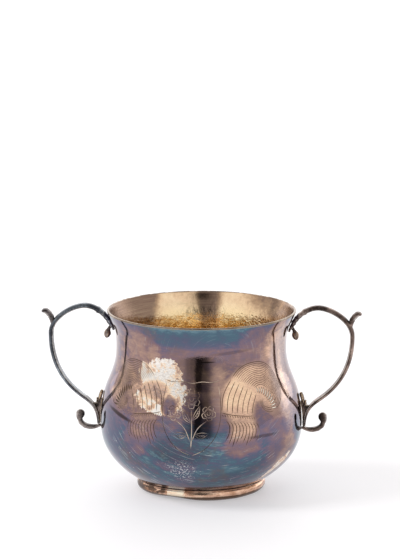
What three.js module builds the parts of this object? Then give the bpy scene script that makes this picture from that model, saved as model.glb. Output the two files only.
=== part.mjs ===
// Two-handled silver cup, a porringer form of about 1680: a raised bowl on a soldered foot ring, with two
// scroll handles. Millimetres, +Z up. The origin is on the table, under the middle of the bowl. The handles
// lie along X, and the engraved front of the bowl faces -Y.
import * as THREE from 'three';

const seatGap = 0.3; // between a piece and the one that it is soldered to
const bluntEnd = 0.3; // size of a rounded end's last face, as a share of the bar

// Bowl: radii of the outside, heights above the table
const rimRadius = 50;
const rimHeight = 95.9;
const rimLean = 22; // degrees that the wall leans out at the rim
const neckRadius = 45;
const neckHeight = 76.1;
const bellyRadius = 53.5;
const bellyHeight = 34.8;
const baseHeight = 3.4; // underside of the flat base
const wall = 0.8;
const lipThickness = 1.25; // the hammered edge of the rim
const lipDepth = 5; // how far down the wall the lip thickens it

// Bowl: how far each stretch holds its direction at its ends, as a share of that stretch
const baseHold = 0.075;
const bellyHoldBelow = 0.67;
const bellyHoldAbove = 0.58;
const neckHoldBelow = 0.405;
const neckHoldAbove = 0.6;
const rimHold = 0.45;

// Foot ring
const footInnerRadius = 29.5;
const footFlatWidth = 1.7; // the face that rests on the table
const footRollOut = 3.2; // the half-round moulding, beyond the flat
const footSeatIn = 1; // the moulding's upper edge, in from its widest
const footBaseInset = 2.5; // from the ring's inside to the edge of the bowl's flat base

// Handle strap
const strapThickness = 2.5;
const strapWidth = 4.1;
const armThickness = 2.1; // at the lower end
const seatDrop = 5.9; // where the strap touches the flare, below the rim
const terminalDrop = 5.6; // the strap's thin upper end, below that point
const terminalThickness = 0.9;
const terminalWidth = 2.4;
const archReach = 11.6; // top of the arch, out from the rim
const archRise = 1.75; // and above the rim
const loopReach = 29.7; // outermost point, out from the rim
const loopDrop = 13.4; // and below the rim
const kneeReach = 9; // bend above the lower end, out from the belly's widest
const kneeRise = 13.4; // and above its height
const kneeSlope = 35; // degrees

// Handle strap: how far each stretch holds its direction at its ends, as a share of that stretch
const flareHold = 0.35;
const archHoldIn = 0.48;
const archHoldOut = 0.36;
const sideHoldAbove = 0.57;
const sideHoldBelow = 0.23;
const kneeHoldAbove = 0.5;
const kneeHoldBelow = 0.38;
const armEndHold = 0.5;
const terminalHold = 0.33;
const quarterHold = 0.55; // in a quarter of a circle

// Handle strap: where it thins down to the arm, as shares of its length
const thinningStart = 0.5;
const thinningEnd = 0.9;

// Bracket between the arm and the belly
const strutThickness = 1;
const bracketWidth = 3;
const webStart = 0.22; // how far down the lower arm its web begins, as a share of the arm
const touchRise = 11; // where the bracket leaves the belly, above its widest
const leafRise = 5.9; // tip of the leaf, above that point
const leafThickness = 1.4;
const leafBevel = 0.7;

// Tail scroll under the arm
const scrollDrop = 1.9; // its start, below the belly's widest
const scrollStartThickness = 1.5;
const scrollSag = 2.3; // how far it dips
const scrollReach = 11; // its outer turn, out from its start
const scrollTurnRise = 3.8; // and above it
const scrollRise = 7.3; // its rolled end, above its start
const scrollCurl = 2.5; // and back in from the outer turn
const scrollEndThickness = 4;
const swellStart = 0.25; // where it begins to swell to its end, as a share of its length
const scrollWidth = 3.8;

// Thumb-piece on the shoulder of the loop
const thumbDrop = 5.2; // its root, below the rim, on the outer side of the strap
const thumbRise = 3.4; // its tip, above its root
const thumbReach = 5.9; // and out from it
const thumbDroop = 0.9; // how far the tip bends down again
const thumbRootThickness = 2.9;
const thumbThickness = 2.1;
const thumbRootWidth = 3.4;
const thumbWidth = 4.4;

// Bud on a short stem, inside the strap's upper end
const budDrop = 8.6; // its stem's root, below the rim
const budThickness = 2.9;
const budLength = 3.9;
const budStemThickness = 1.3;
const budTipThickness = 0.5;
const budStemLength = 2.2;
const budLean = 0.6; // its tip, out from its root

// Fineness of the facets
const turnSteps = 48;
const profileSteps = 24;
const ringSteps = 5;
const strapSteps = 40;
const curlSteps = 14;
const leafSteps = 7;
const sectionSides = 10;
const budSteps = 12;
const searchStep = 1e-6;

const mix = THREE.MathUtils.lerp;
const smooth = THREE.MathUtils.smoothstep;
const radians = THREE.MathUtils.degToRad;
const point = (x, z) => new THREE.Vector2(x, z);

function metal(color, roughness) {
  return new THREE.MeshStandardMaterial({ color, roughness, metalness: 1 });
}

const bowlMetal = metal(0xb9b6b2, 0.3);
const footMetal = metal(0xb79c86, 0.35);
const strapMetal = metal(0x8f8f94, 0.38);
const darkMetal = metal(0x77767a, 0.42);

function namedMesh(name, geometry, material) {
  const mesh = new THREE.Mesh(geometry, material);
  mesh.name = name;
  return mesh;
}

// The outside of the bowl as a line of radius and height, from the edge of its flat base to the rim
function bowlLine() {
  const baseRadius = footInnerRadius - footBaseInset;
  const lean = radians(rimLean);
  const below = bellyHeight - baseHeight;
  const middle = neckHeight - bellyHeight;
  const above = rimHeight - neckHeight;
  const line = new THREE.Path();
  line.moveTo(baseRadius, baseHeight);
  line.bezierCurveTo(
    baseRadius + baseHold * (bellyRadius - baseRadius), baseHeight,
    bellyRadius, bellyHeight - bellyHoldBelow * below,
    bellyRadius, bellyHeight,
  );
  line.bezierCurveTo(
    bellyRadius, bellyHeight + bellyHoldAbove * middle,
    neckRadius, neckHeight - neckHoldBelow * middle,
    neckRadius, neckHeight,
  );
  line.bezierCurveTo(
    neckRadius, neckHeight + neckHoldAbove * above,
    rimRadius - rimHold * above * Math.sin(lean), rimHeight - rimHold * above * Math.cos(lean),
    rimRadius, rimHeight,
  );
  return line;
}

const outside = bowlLine();

function awayFrom(line, share, distance) {
  const along = line.getTangentAt(share);
  return line.getPointAt(share).add(point(along.y, -along.x).multiplyScalar(distance));
}

// The share of a line, between two others, from which its points pass a test
function shareWhere(line, from, to, passes) {
  let before = from;
  let after = to;
  while (after - before > searchStep) {
    const middle = (before + after) / 2;
    if (passes(line.getPointAt(middle))) after = middle;
    else before = middle;
  }
  return after;
}

const shareAtHeight = (height) => shareWhere(outside, 0, 1, (p) => p.y >= height);
const shareAtRadius = (radius) => shareWhere(outside, 0, 1, (p) => p.x >= radius || p.y >= bellyHeight);
const nearBowl = (height, distance) => awayFrom(outside, shareAtHeight(height), distance);

function wallAt(height) {
  return mix(wall, lipThickness, smooth(height, rimHeight - lipDepth, rimHeight));
}

function turned(outline, steps) {
  return new THREE.LatheGeometry(outline, steps).rotateX(Math.PI / 2);
}

function bowl() {
  const outer = outside.getSpacedPoints(profileSteps);
  const inner = outer
    .map((p, i) => awayFrom(outside, i / profileSteps, -wallAt(p.y)))
    .filter((p) => p.y < rimHeight - lipThickness / 2)
    .reverse();
  const innerEdge = point(rimRadius - lipThickness / Math.cos(radians(rimLean)), rimHeight);
  const outline = [point(0, baseHeight), ...outer, innerEdge, ...inner, point(0, baseHeight + wall)];
  return namedMesh('bowl', turned(outline, turnSteps), bowlMetal);
}

function footRing() {
  const flatRadius = footInnerRadius + footFlatWidth;
  const rollRadius = flatRadius + footRollOut;
  const seatRadius = rollRadius - footSeatIn;
  const upperEdge = awayFrom(outside, shareAtRadius(seatRadius), seatGap);
  const side = new THREE.Path();
  side.moveTo(flatRadius, 0);
  side.quadraticCurveTo(rollRadius, 0, rollRadius, upperEdge.y / 2);
  side.quadraticCurveTo(rollRadius, upperEdge.y, upperEdge.x, upperEdge.y);
  const underBowl = [];
  for (let i = 1; i <= ringSteps; i++) {
    const radius = mix(seatRadius, footInnerRadius, i / ringSteps);
    underBowl.push(awayFrom(outside, shareAtRadius(radius), seatGap));
  }
  const innerTop = point(footInnerRadius, underBowl[ringSteps - 1].y);
  underBowl[ringSteps - 1] = innerTop;
  const start = point(footInnerRadius, 0);
  const outline = [start, ...side.getPoints(ringSteps), ...underBowl, start];
  return namedMesh('foot_ring', turned(outline, turnSteps), footMetal);
}

// A bar bent along a line of X and Z: a straight prism with each of its slices moved onto the line, where
// sizeAt gives the slice's thickness in the plane of the line and its width across
function bentBar(line, steps, sizeAt) {
  const section = new THREE.Shape().absarc(0, 0, 1, 0, 2 * Math.PI);
  const geometry = new THREE.ExtrudeGeometry(section, {
    depth: 1,
    steps,
    curveSegments: sectionSides / 2,
    bevelEnabled: false,
  });
  const corners = geometry.attributes.position;
  for (let i = 0; i < corners.count; i++) {
    const share = corners.getZ(i);
    const size = sizeAt(share);
    const place = awayFrom(line, share, (corners.getX(i) * size.thickness) / 2);
    corners.setXYZ(i, place.x, (corners.getY(i) * size.width) / 2, place.y);
  }
  return geometry;
}

// A factor on a bar's size, 1 along the bar, that draws its end in to a round of a given length
function roundedOff(share, line, length) {
  const left = Math.min(1, ((1 - share) * line.getLength()) / length);
  return mix(bluntEnd, 1, Math.sqrt(left * (2 - left)));
}

const scrollStartHeight = bellyHeight - scrollDrop;
const armEndHeight = scrollStartHeight + scrollStartThickness / 2 + seatGap;

// The lower arm, from the knee to its end beside the bracket
function armLine() {
  const slope = radians(kneeSlope);
  const knee = point(bellyRadius + kneeReach, bellyHeight + kneeRise);
  const besideStrut = 2 * seatGap + strutThickness + armThickness / 2;
  const end = nearBowl(armEndHeight, besideStrut);
  const length = knee.distanceTo(end);
  const fromKnee = kneeHoldBelow * length;
  return new THREE.CubicBezierCurve(
    knee,
    point(knee.x - fromKnee * Math.cos(slope), knee.y - fromKnee * Math.sin(slope)),
    point(end.x, end.y + armEndHold * length),
    end,
  );
}

// The whole strap: its end on the flare, the arch over the rim, the side of the loop and the lower arm
function strapLine() {
  const seatHeight = rimHeight - seatDrop;
  const seat = nearBowl(seatHeight, seatGap + strapThickness / 2);
  const seatWay = outside.getTangentAt(shareAtHeight(seatHeight));
  const endHeight = seatHeight - terminalDrop;
  const end = nearBowl(endHeight, seatGap + terminalThickness / 2);
  const endWay = outside.getTangentAt(shareAtHeight(endHeight));
  const hold = terminalHold * terminalDrop;
  const arch = point(rimRadius + archReach, rimHeight + archRise);
  const side = point(rimRadius + loopReach, rimHeight - loopDrop);
  const arm = armLine();
  const armWay = arm.getTangent(0);
  const drop = arm.v0.distanceTo(side);
  const line = new THREE.Path();
  line.moveTo(end.x, end.y);
  line.bezierCurveTo(
    end.x + endWay.x * hold, end.y + endWay.y * hold,
    seat.x - seatWay.x * hold, seat.y - seatWay.y * hold,
    seat.x, seat.y,
  );
  line.bezierCurveTo(
    seat.x + seatWay.x * flareHold * archReach, seat.y + seatWay.y * flareHold * archReach,
    arch.x - archHoldIn * archReach, arch.y,
    arch.x, arch.y,
  );
  line.bezierCurveTo(
    mix(arch.x, side.x, archHoldOut), arch.y,
    side.x, mix(side.y, arch.y, sideHoldAbove),
    side.x, side.y,
  );
  line.bezierCurveTo(
    side.x, side.y - sideHoldBelow * drop,
    arm.v0.x - armWay.x * kneeHoldAbove * drop, arm.v0.y - armWay.y * kneeHoldAbove * drop,
    arm.v0.x, arm.v0.y,
  );
  line.bezierCurveTo(arm.v1.x, arm.v1.y, arm.v2.x, arm.v2.y, arm.v3.x, arm.v3.y);
  return line;
}

const strap = strapLine();

// The shares of its length at which the strap reaches its seat on the flare, the top and the outermost point
const [seatShare, archShare, sideShare] = strap.getCurveLengths().map((length) => length / strap.getLength());

function strapSize(share) {
  const swell = Math.min(1, share / seatShare);
  const full = mix(strapThickness, armThickness, smooth(share, thinningStart, thinningEnd));
  return { thickness: mix(terminalThickness, full, swell), width: mix(terminalWidth, strapWidth, swell) };
}

function handleLoop() {
  return bentBar(strap, strapSteps, strapSize);
}

function thumbPiece() {
  const place = shareWhere(strap, archShare, sideShare, (p) => p.y <= rimHeight - thumbDrop);
  const root = awayFrom(strap, place, -(strapSize(place).thickness / 2 + seatGap));
  const along = strap.getTangentAt(place);
  const rise = quarterHold * thumbRise;
  const tip = point(root.x + thumbReach, root.y + thumbRise);
  const line = new THREE.CubicBezierCurve(
    root,
    point(root.x - rise * along.y, root.y + rise * along.x),
    point(tip.x - quarterHold * thumbReach, tip.y + thumbDroop),
    tip,
  );
  return bentBar(line, leafSteps, (share) => {
    const end = roundedOff(share, line, thumbThickness);
    return {
      thickness: mix(thumbRootThickness, thumbThickness, share) * end,
      width: mix(thumbRootWidth, thumbWidth, share) * end,
    };
  });
}

function upperBud() {
  const place = shareWhere(strap, 0, archShare, (p) => p.y >= rimHeight - budDrop);
  const root = awayFrom(strap, place, strapSize(place).thickness / 2 + seatGap);
  const length = budStemLength + budLength;
  const line = new THREE.QuadraticBezierCurve(
    root,
    point(root.x + budLean, root.y - budStemLength),
    point(root.x + budLean, root.y - length),
  );
  return bentBar(line, budSteps, (share) => {
    const onBud = THREE.MathUtils.clamp((share * length - budStemLength) / budLength, 0, 1);
    const swell = budThickness * Math.sqrt(Math.sin(Math.PI * onBud));
    const size = Math.max(swell, mix(budStemThickness, budTipThickness, onBud));
    return { thickness: size, width: size };
  });
}

function lowerBracket() {
  const arm = armLine();
  const touchHeight = bellyHeight + touchRise;
  const outline = new THREE.Shape();
  const armSide = (share) => awayFrom(arm, share, armThickness / 2 + seatGap);
  const bottom = nearBowl(armEndHeight, seatGap);
  outline.moveTo(bottom.x, bottom.y);
  for (let i = 0; i <= leafSteps; i++) {
    const p = armSide(mix(1, webStart, i / leafSteps));
    outline.lineTo(p.x, p.y);
  }
  const root = armSide(webStart);
  const touch = nearBowl(touchHeight, seatGap);
  const tip = point(touch.x, touchHeight + leafRise);
  outline.bezierCurveTo(
    mix(root.x, tip.x, quarterHold), root.y,
    tip.x + leafThickness, mix(tip.y, root.y, quarterHold),
    tip.x + leafThickness, tip.y,
  );
  outline.lineTo(tip.x, tip.y - leafBevel);
  for (let i = 0; i < leafSteps; i++) {
    const p = nearBowl(mix(touchHeight, armEndHeight, i / leafSteps), seatGap);
    outline.lineTo(p.x, p.y);
  }
  const plate = new THREE.ExtrudeGeometry(outline, {
    depth: bracketWidth,
    curveSegments: leafSteps,
    bevelEnabled: false,
  });
  return plate.translate(0, 0, -bracketWidth / 2).rotateX(Math.PI / 2);
}

function tailScroll() {
  const start = nearBowl(scrollStartHeight, seatGap);
  const turn = point(start.x + scrollReach, start.y + scrollTurnRise);
  const end = point(turn.x - scrollCurl, start.y + scrollRise);
  const line = new THREE.Path();
  line.moveTo(start.x, start.y);
  line.bezierCurveTo(
    mix(start.x, turn.x, quarterHold), start.y - scrollSag,
    turn.x, mix(turn.y, start.y - scrollSag, quarterHold),
    turn.x, turn.y,
  );
  line.bezierCurveTo(
    turn.x, mix(turn.y, end.y, quarterHold),
    mix(end.x, turn.x, quarterHold), end.y,
    end.x, end.y,
  );
  return bentBar(line, curlSteps, (share) => {
    const end = roundedOff(share, line, scrollEndThickness / 2);
    return {
      thickness: mix(scrollStartThickness, scrollEndThickness, smooth(share, swellStart, 1)) * end,
      width: scrollWidth * end,
    };
  });
}

function handle(side, turn) {
  const group = new THREE.Group();
  group.add(namedMesh(`${side}_handle_loop`, handleLoop(), strapMetal));
  group.add(namedMesh(`${side}_thumb_piece`, thumbPiece(), strapMetal));
  group.add(namedMesh(`${side}_upper_bud`, upperBud(), darkMetal));
  group.add(namedMesh(`${side}_lower_bracket`, lowerBracket(), darkMetal));
  group.add(namedMesh(`${side}_tail_scroll`, tailScroll(), strapMetal));
  group.rotation.z = turn;
  return group;
}

const cup = new THREE.Group();
cup.add(bowl());
cup.add(footRing());
cup.add(handle('right', 0));
cup.add(handle('left', Math.PI));

export default cup;
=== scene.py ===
# Two-handled silver cup with an engraved front, on a pale floor. Shapes are made in millimetres and
# brought to metres when a piece is finished. The handles lie along X and the engraved front faces -Y.
import math
import bmesh
import bpy
import numpy as np
from mathutils import Matrix, Vector, geometry, noise


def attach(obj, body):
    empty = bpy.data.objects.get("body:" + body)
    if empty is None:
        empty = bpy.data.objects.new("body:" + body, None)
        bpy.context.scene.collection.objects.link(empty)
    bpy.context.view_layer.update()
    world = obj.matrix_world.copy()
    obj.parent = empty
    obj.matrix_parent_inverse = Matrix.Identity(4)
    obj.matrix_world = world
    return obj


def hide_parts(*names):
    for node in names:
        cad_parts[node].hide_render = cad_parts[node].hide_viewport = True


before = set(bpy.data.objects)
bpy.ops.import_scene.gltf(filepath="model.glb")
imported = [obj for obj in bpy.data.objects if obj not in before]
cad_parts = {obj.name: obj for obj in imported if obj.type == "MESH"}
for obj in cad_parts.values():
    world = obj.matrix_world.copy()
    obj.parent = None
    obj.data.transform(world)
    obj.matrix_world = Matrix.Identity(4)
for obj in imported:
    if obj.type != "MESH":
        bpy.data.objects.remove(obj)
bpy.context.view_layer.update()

MM = 0.001

# Bowl: radii of the outside, heights above the table
RIM_RADIUS = 50
RIM_HEIGHT = 95.9
RIM_LEAN = math.radians(22)
NECK_RADIUS = 45
NECK_HEIGHT = 76.1
BELLY_RADIUS = 53.5
BELLY_HEIGHT = 34.8
BASE_RADIUS = 27
BASE_HEIGHT = 3.4
WALL = 0.8
LIP_THICKNESS = 1.25
LIP_DEPTH = 5
LIP_ROUND = 0.45
NECK_THICKENING = 0.6
NECK_THICK_REACH = 7

# How far the bowl's curves run straight on, as shares of the width or the height of their stretch
BASE_HOLD = 0.075
BELLY_HOLD_BELOW = 0.67
BELLY_HOLD_ABOVE = 0.58
NECK_HOLD_BELOW = 0.405
NECK_HOLD_ABOVE = 0.6
RIM_HOLD = 0.45

# Dents in the hand-raised wall: place round the belly from the front's middle, height, size and depth
DENTS = [(57, 14, 8, 0.55), (-50, 47, 9, 0.25), (24, 79, 12, 0.2), (-112, 30, 12, 0.4), (140, 60, 14, 0.35)]

# Foot ring; its bend is placed round the ring from the front's middle
FOOT_INNER_RADIUS = 29.5
FOOT_FLAT_RADIUS = 31.2
FOOT_BODY_RADIUS = 34
FOOT_SEAT_RADIUS = 33.4
FOOT_TOUCH = 0.02
FOOT_BENT_UP = 1.3
FOOT_BEND_PLACE = -15

# Handle
SOLDER_GAP = 0.3
STRAP_THICKNESS = 2.5
STRAP_WIDTH = 5
ARM_THICKNESS = 2.1
ARM_END_THICKNESS = 1.1
ARM_END_GAP = 1.35
TAIL_THICKNESS = 0.9
TAIL_WIDTH = 2.4
SEAT_DROP = 5.9
TAIL_DROP = 5.6
ARCH_REACH = 11.6
ARCH_RISE = 1.75
LOOP_REACH = 29.7
LOOP_DROP = 13.4
KNEE_REACH = 9
KNEE_RISE = 13.4
KNEE_SLOPE = math.radians(35)
THUMB_DROP = 9
THUMB_ROOT_WIDTH = 3.6
THUMB_WIDTH = 4.9
THUMB_ROOT_THICKNESS = 2
THUMB_THICKNESS = 3
THUMB_END_THICKNESS = 2.5
BUD_DROP = 8.8
BUD_NECK = 2.2
BUD_LOBES = 5
BUD_RADIUS = 1.8
BRACKET_WIDTH = 3
WEB_SINK = 0.75
SLIT = 0.15
WEB_START = 0.34
TOUCH_RISE = 11
LEAF_RISE = 5.9
LEAF_WIDTH = 3.8
LEAF_ROOT_THICKNESS = 1.2
LEAF_THICKNESS = 2.1
CURL_WIDTH = 3.1
CURL_THICKNESS = 0.9
SCROLL_DROP = 1.9
SCROLL_REACH = 11
SCROLL_RISE = 3.8
SCROLL_START_THICKNESS = 1.5
SCROLL_THICKNESS = 3
SCROLL_END_THICKNESS = 4.5
SCROLL_WIDTH = 3.8

# Engraving: widths of the strokes, depth of a cut as wide as a stem, steps along a stroke, and how much a
# stroke bows between its points
STEM_WIDTH = 0.46
BARB_WIDTH = 0.38
BAR_WIDTH = 1
SHIELD_WIDTH = 0.36
HATCH_WIDTH = 0.26
CUT_DEPTH = 0.08
CUT_STEP = 0.8
STROKE_BOW = 0.36

# Fineness of the bowl and the foot ring
COLUMNS = 180
ROWS = 64
FOOT_COLUMNS = 144
COLUMN_ANGLE = 2 * math.pi / COLUMNS

# The front that holds the engraving: its first and last column from the middle, and its heights
PATCH_COLUMNS = (-35, 33)
PATCH_HEIGHTS = (27, 79)
CLEAR_OF_STROKES = 0.5

# Floor, light and camera, in metres
FLOOR_REACH = 6
FLOOR_FRONT = -0.33
FLOOR_COLOUR = (0.6, 0.595, 0.605, 1)
FLOOR_GLOW = (0.985, 0.975, 1, 1)
STUDIO_WHITE = (1.0, 0.985, 0.975, 1)
KEY_FROM = (-0.78, -0.14, 0.74)
KEY_SIZE = math.radians(24)
KEY_STRENGTH = 1.35
CAMERA_LENS = 210.5
CAMERA_SENSOR = 36
CAMERA_PITCH = math.radians(11.18)
CAMERA_YAW = math.radians(3.2)
CAMERA_DISTANCE = 1.724
CAMERA_AIM = (-0.0007, 0, 0.1118)


def mix(a, b, share):
    return a + (b - a) * share


def smooth(value, low, high):
    share = min(1, max(0, (value - low) / (high - low)))
    return share * share * (3 - 2 * share)


def even_shares(count):
    """So many shares from 0 to 1, evenly spaced."""
    return [i / (count - 1) for i in range(count)]


class Line:
    """A line of X and Z made of curved stretches, read by the share of its length."""

    def __init__(self, *stretches, marks=64):
        self.stretches = [[Vector(p) for p in stretch] for stretch in stretches]
        self.lengths = [0]
        self.places = [0]
        self.ends = []
        for number, stretch in enumerate(self.stretches):
            last = stretch[0]
            for i in range(1, marks + 1):
                now = self.on(stretch, i / marks)
                self.lengths.append(self.lengths[-1] + (now - last).length)
                self.places.append(number + i / marks)
                last = now
            self.ends.append(self.lengths[-1])
        self.length = self.lengths[-1]
        self.ends = [end / self.length for end in self.ends]
        self.lengths = np.array(self.lengths)
        self.places = np.array(self.places)

    @staticmethod
    def on(stretch, t):
        a, b, c, d = stretch
        s = 1 - t
        return a * s ** 3 + b * 3 * s * s * t + c * 3 * s * t * t + d * t ** 3

    def find(self, share):
        place = float(np.interp(share * self.length, self.lengths, self.places))
        number = min(int(place), len(self.stretches) - 1)
        return self.stretches[number], place - number

    def at(self, share):
        return self.on(*self.find(share))

    def along(self, share):
        (a, b, c, d), t = self.find(share)
        s = 1 - t
        way = (b - a) * s * s + (c - b) * 2 * s * t + (d - c) * t * t
        return way.normalized()

    def away(self, share, distance):
        way = self.along(share)
        return self.at(share) + Vector((way.y, -way.x)) * distance

    def where(self, low, high, passes):
        """The share, between two others, from which the line's points pass a test."""
        for _ in range(24):
            middle = (low + high) / 2
            if passes(self.at(middle)):
                high = middle
            else:
                low = middle
        return high


def bowl_line():
    """The outside of the bowl in section, as radius and height: base to belly, to neck, to rim."""
    below = BELLY_HEIGHT - BASE_HEIGHT
    middle = NECK_HEIGHT - BELLY_HEIGHT
    above = RIM_HEIGHT - NECK_HEIGHT
    lean = RIM_HOLD * above
    base = (BASE_RADIUS, BASE_HEIGHT)
    after_base = (mix(BASE_RADIUS, BELLY_RADIUS, BASE_HOLD), BASE_HEIGHT)
    before_belly = (BELLY_RADIUS, BELLY_HEIGHT - BELLY_HOLD_BELOW * below)
    belly = (BELLY_RADIUS, BELLY_HEIGHT)
    after_belly = (BELLY_RADIUS, BELLY_HEIGHT + BELLY_HOLD_ABOVE * middle)
    before_neck = (NECK_RADIUS, NECK_HEIGHT - NECK_HOLD_BELOW * middle)
    neck = (NECK_RADIUS, NECK_HEIGHT)
    after_neck = (NECK_RADIUS, NECK_HEIGHT + NECK_HOLD_ABOVE * above)
    before_rim = (RIM_RADIUS - lean * math.sin(RIM_LEAN), RIM_HEIGHT - lean * math.cos(RIM_LEAN))
    rim = (RIM_RADIUS, RIM_HEIGHT)
    return Line(
        [base, after_base, before_belly, belly],
        [belly, after_belly, before_neck, neck],
        [neck, after_neck, before_rim, rim],
    )


OUTSIDE = bowl_line()


def share_at_height(height):
    return OUTSIDE.where(0, 1, lambda p: p.y >= height)


def share_at_radius(radius):
    return OUTSIDE.where(0, 1, lambda p: p.x >= radius or p.y >= BELLY_HEIGHT)


def near_bowl(height, distance):
    """The point at a distance outside the bowl, level with a height on it."""
    return OUTSIDE.away(share_at_height(height), distance)


def under_bowl(radius):
    """A point on the bowl's underside, where the foot ring is soldered to it."""
    return OUTSIDE.away(share_at_radius(radius), FOOT_TOUCH)


# Shader maths


class Value:
    """One output of a finish's nodes, so that sums on it are written as sums."""

    def __init__(self, finish, socket):
        self.finish = finish
        self.socket = socket

    def sum(self, operation, *values):
        """One Math node: the operation's name and the values that it works on."""
        return self.finish.node("ShaderNodeMath", {"operation": operation}, dict(enumerate(values)))

    def __add__(self, other):
        return self.sum("ADD", self, other)

    def __sub__(self, other):
        return self.sum("SUBTRACT", self, other)

    def __rsub__(self, other):
        return self.sum("SUBTRACT", other, self)

    def __mul__(self, other):
        return self.sum("MULTIPLY", self, other)

    def __truediv__(self, other):
        return self.sum("DIVIDE", self, other)

    def __pow__(self, other):
        return self.sum("POWER", self, other)

    __radd__ = __add__
    __rmul__ = __mul__

    def most(self, *others):
        """The highest of this value and the others."""
        highest = self
        for other in others:
            highest = self.sum("MAXIMUM", highest, other)
        return highest

    def size(self):
        return self.sum("ABSOLUTE", self)

    def step(self, low, high):
        """0 up to low, 1 from high, and a smooth rise between them; high may be the lower one."""
        inputs = {0: self, 1: low, 2: high, 3: 0, 4: 1}
        return self.finish.node("ShaderNodeMapRange", {"interpolation_type": "SMOOTHSTEP"}, inputs)

    def between(self, start, full, past, end):
        """0 up to start, 1 from full to past, and 0 again from end."""
        return self.step(start, full) * self.step(end, past)

    def bell(self, middle, spread):
        return (self - middle).size().step(spread, 0)


class Finish:
    """A material and the nodes that make it."""

    def __init__(self, name, tree=None):
        if tree is None:
            self.material = bpy.data.materials.new(name)
            self.material.use_nodes = True
            tree = self.material.node_tree
        self.tree = tree
        self.shader = tree.nodes.get("Principled BSDF")

    def node(self, kind, settings=None, inputs=None, output=0):
        node = self.tree.nodes.new(kind)
        for name, value in (settings or {}).items():
            if name == "stops":
                self.set_stops(node.color_ramp, value)
            else:
                setattr(node, name, value)
        for name, value in (inputs or {}).items():
            self.feed(node.inputs[name], value)
        return Value(self, node.outputs[output])

    def feed(self, socket, value):
        if isinstance(value, Value):
            self.tree.links.new(value.socket, socket)
        else:
            socket.default_value = value

    @staticmethod
    def set_stops(ramp, stops):
        while len(ramp.elements) < len(stops):
            ramp.elements.new(1)
        for element, (place, colour) in zip(ramp.elements, stops):
            element.position = place
            element.color = (*colour, 1) if isinstance(colour, tuple) else (colour, colour, colour, 1)

    def set(self, **values):
        for name, value in values.items():
            self.feed(self.shader.inputs[name.replace("_", " ")], value)

    def place(self):
        """The point on the piece, in millimetres."""
        spot = self.node("ShaderNodeTexCoord", output="Object")
        return self.node("ShaderNodeVectorMath", {"operation": "SCALE"}, {0: spot, "Scale": 1 / MM})

    def parts(self, vector):
        node = self.tree.nodes.new("ShaderNodeSeparateXYZ")
        self.feed(node.inputs[0], vector)
        return [Value(self, output) for output in node.outputs]

    def joined(self, x, y, z):
        return self.node("ShaderNodeCombineXYZ", None, {0: x, 1: y, 2: z})

    def stretched(self, vector, scale, turn=(0, 0, 0)):
        return self.node("ShaderNodeMapping", None, {"Vector": vector, "Scale": scale, "Rotation": turn})

    def angle_round(self, x, y):
        """The angle round the cup from the middle of the front, in radians, growing to the right."""
        return x.sum("ARCTAN2", x, 0 - y)

    def cloud(self, vector, scale, detail=3, roughness=0.5, warp=0):
        """Noise from 0 to 1; scale is how many of its lumps fit in a millimetre."""
        inputs = {"Vector": vector, "Scale": scale, "Detail": detail}
        inputs.update({"Roughness": roughness, "Distortion": warp})
        return self.node("ShaderNodeTexNoise", None, inputs)

    def cells(self, vector, scale):
        return self.node("ShaderNodeTexVoronoi", None, {"Vector": vector, "Scale": scale}, "Distance")

    def ramp(self, value, stops):
        return self.node("ShaderNodeValToRGB", {"stops": stops}, {"Fac": value})

    def blend(self, share, first, second):
        settings = {"data_type": "RGBA", "blend_type": "MIX", "clamp_factor": True}
        first, second = [(*colour, 1) if isinstance(colour, tuple) else colour for colour in (first, second)]
        return self.node("ShaderNodeMix", settings, {0: share, 6: first, 7: second}, 2)

    def layers(self, colour, *covers):
        """A colour with others laid over it one after the other, each given as its share and its colour."""
        for share, cover in covers:
            colour = self.blend(share, colour, cover)
        return colour

    def near(self, vector, spot):
        """Distance from a fixed point, in millimetres."""
        return self.node("ShaderNodeVectorMath", {"operation": "DISTANCE"}, {0: vector, 1: spot}, "Value")

    def attribute(self, name):
        return self.node("ShaderNodeAttribute", {"attribute_name": name}, None, "Fac")

    def bump(self, height, distance, strength=1, under=None):
        inputs = {"Height": height, "Distance": distance * MM, "Strength": strength}
        if under is not None:
            inputs["Normal"] = under
        return self.node("ShaderNodeBump", None, inputs)


def reach_in(across, z, middle, height, wide, tall, slope=0):
    """How far out in an oval a point lies, 0 in its middle and 1 on its edge; slope tilts the oval."""
    if slope:
        z = z + (across - middle) * slope
    return ((across - middle) / wide) ** 2 + ((z - height) / tall) ** 2


def oval(across, z, middle, height, wide, tall, ragged, slope=0):
    """A soft-edged oval place, its edge made ragged by noise."""
    reach = reach_in(across, z, middle, height, wide, tall, slope)
    return (reach + (ragged - 0.5) * 2.5).step(1.7, 0.2)


# Colours of silver as its tarnish thickens
BARE_SILVER = (0.92, 0.88, 0.83)
CREAM_SILVER = (0.94, 0.84, 0.72)
WARM_SILVER = (0.97, 0.7, 0.47)
PALE_GOLD = (0.76, 0.5, 0.36)
ROSE = (0.42, 0.275, 0.215)
MAUVE = (0.24, 0.155, 0.165)
VIOLET = (0.17, 0.135, 0.19)
BLUE = (0.11, 0.125, 0.19)
TEAL = (0.085, 0.15, 0.2)
PALE_TEAL = (0.15, 0.25, 0.3)
MOSS = (0.17, 0.2, 0.17)
TARNISH = [
    (0.0, BARE_SILVER), (0.07, CREAM_SILVER), (0.12, WARM_SILVER), (0.2, PALE_GOLD), (0.3, ROSE),
    (0.43, MAUVE), (0.56, VIOLET), (0.68, BLUE), (0.8, TEAL), (0.93, PALE_TEAL), (1.0, MOSS),
]

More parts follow.
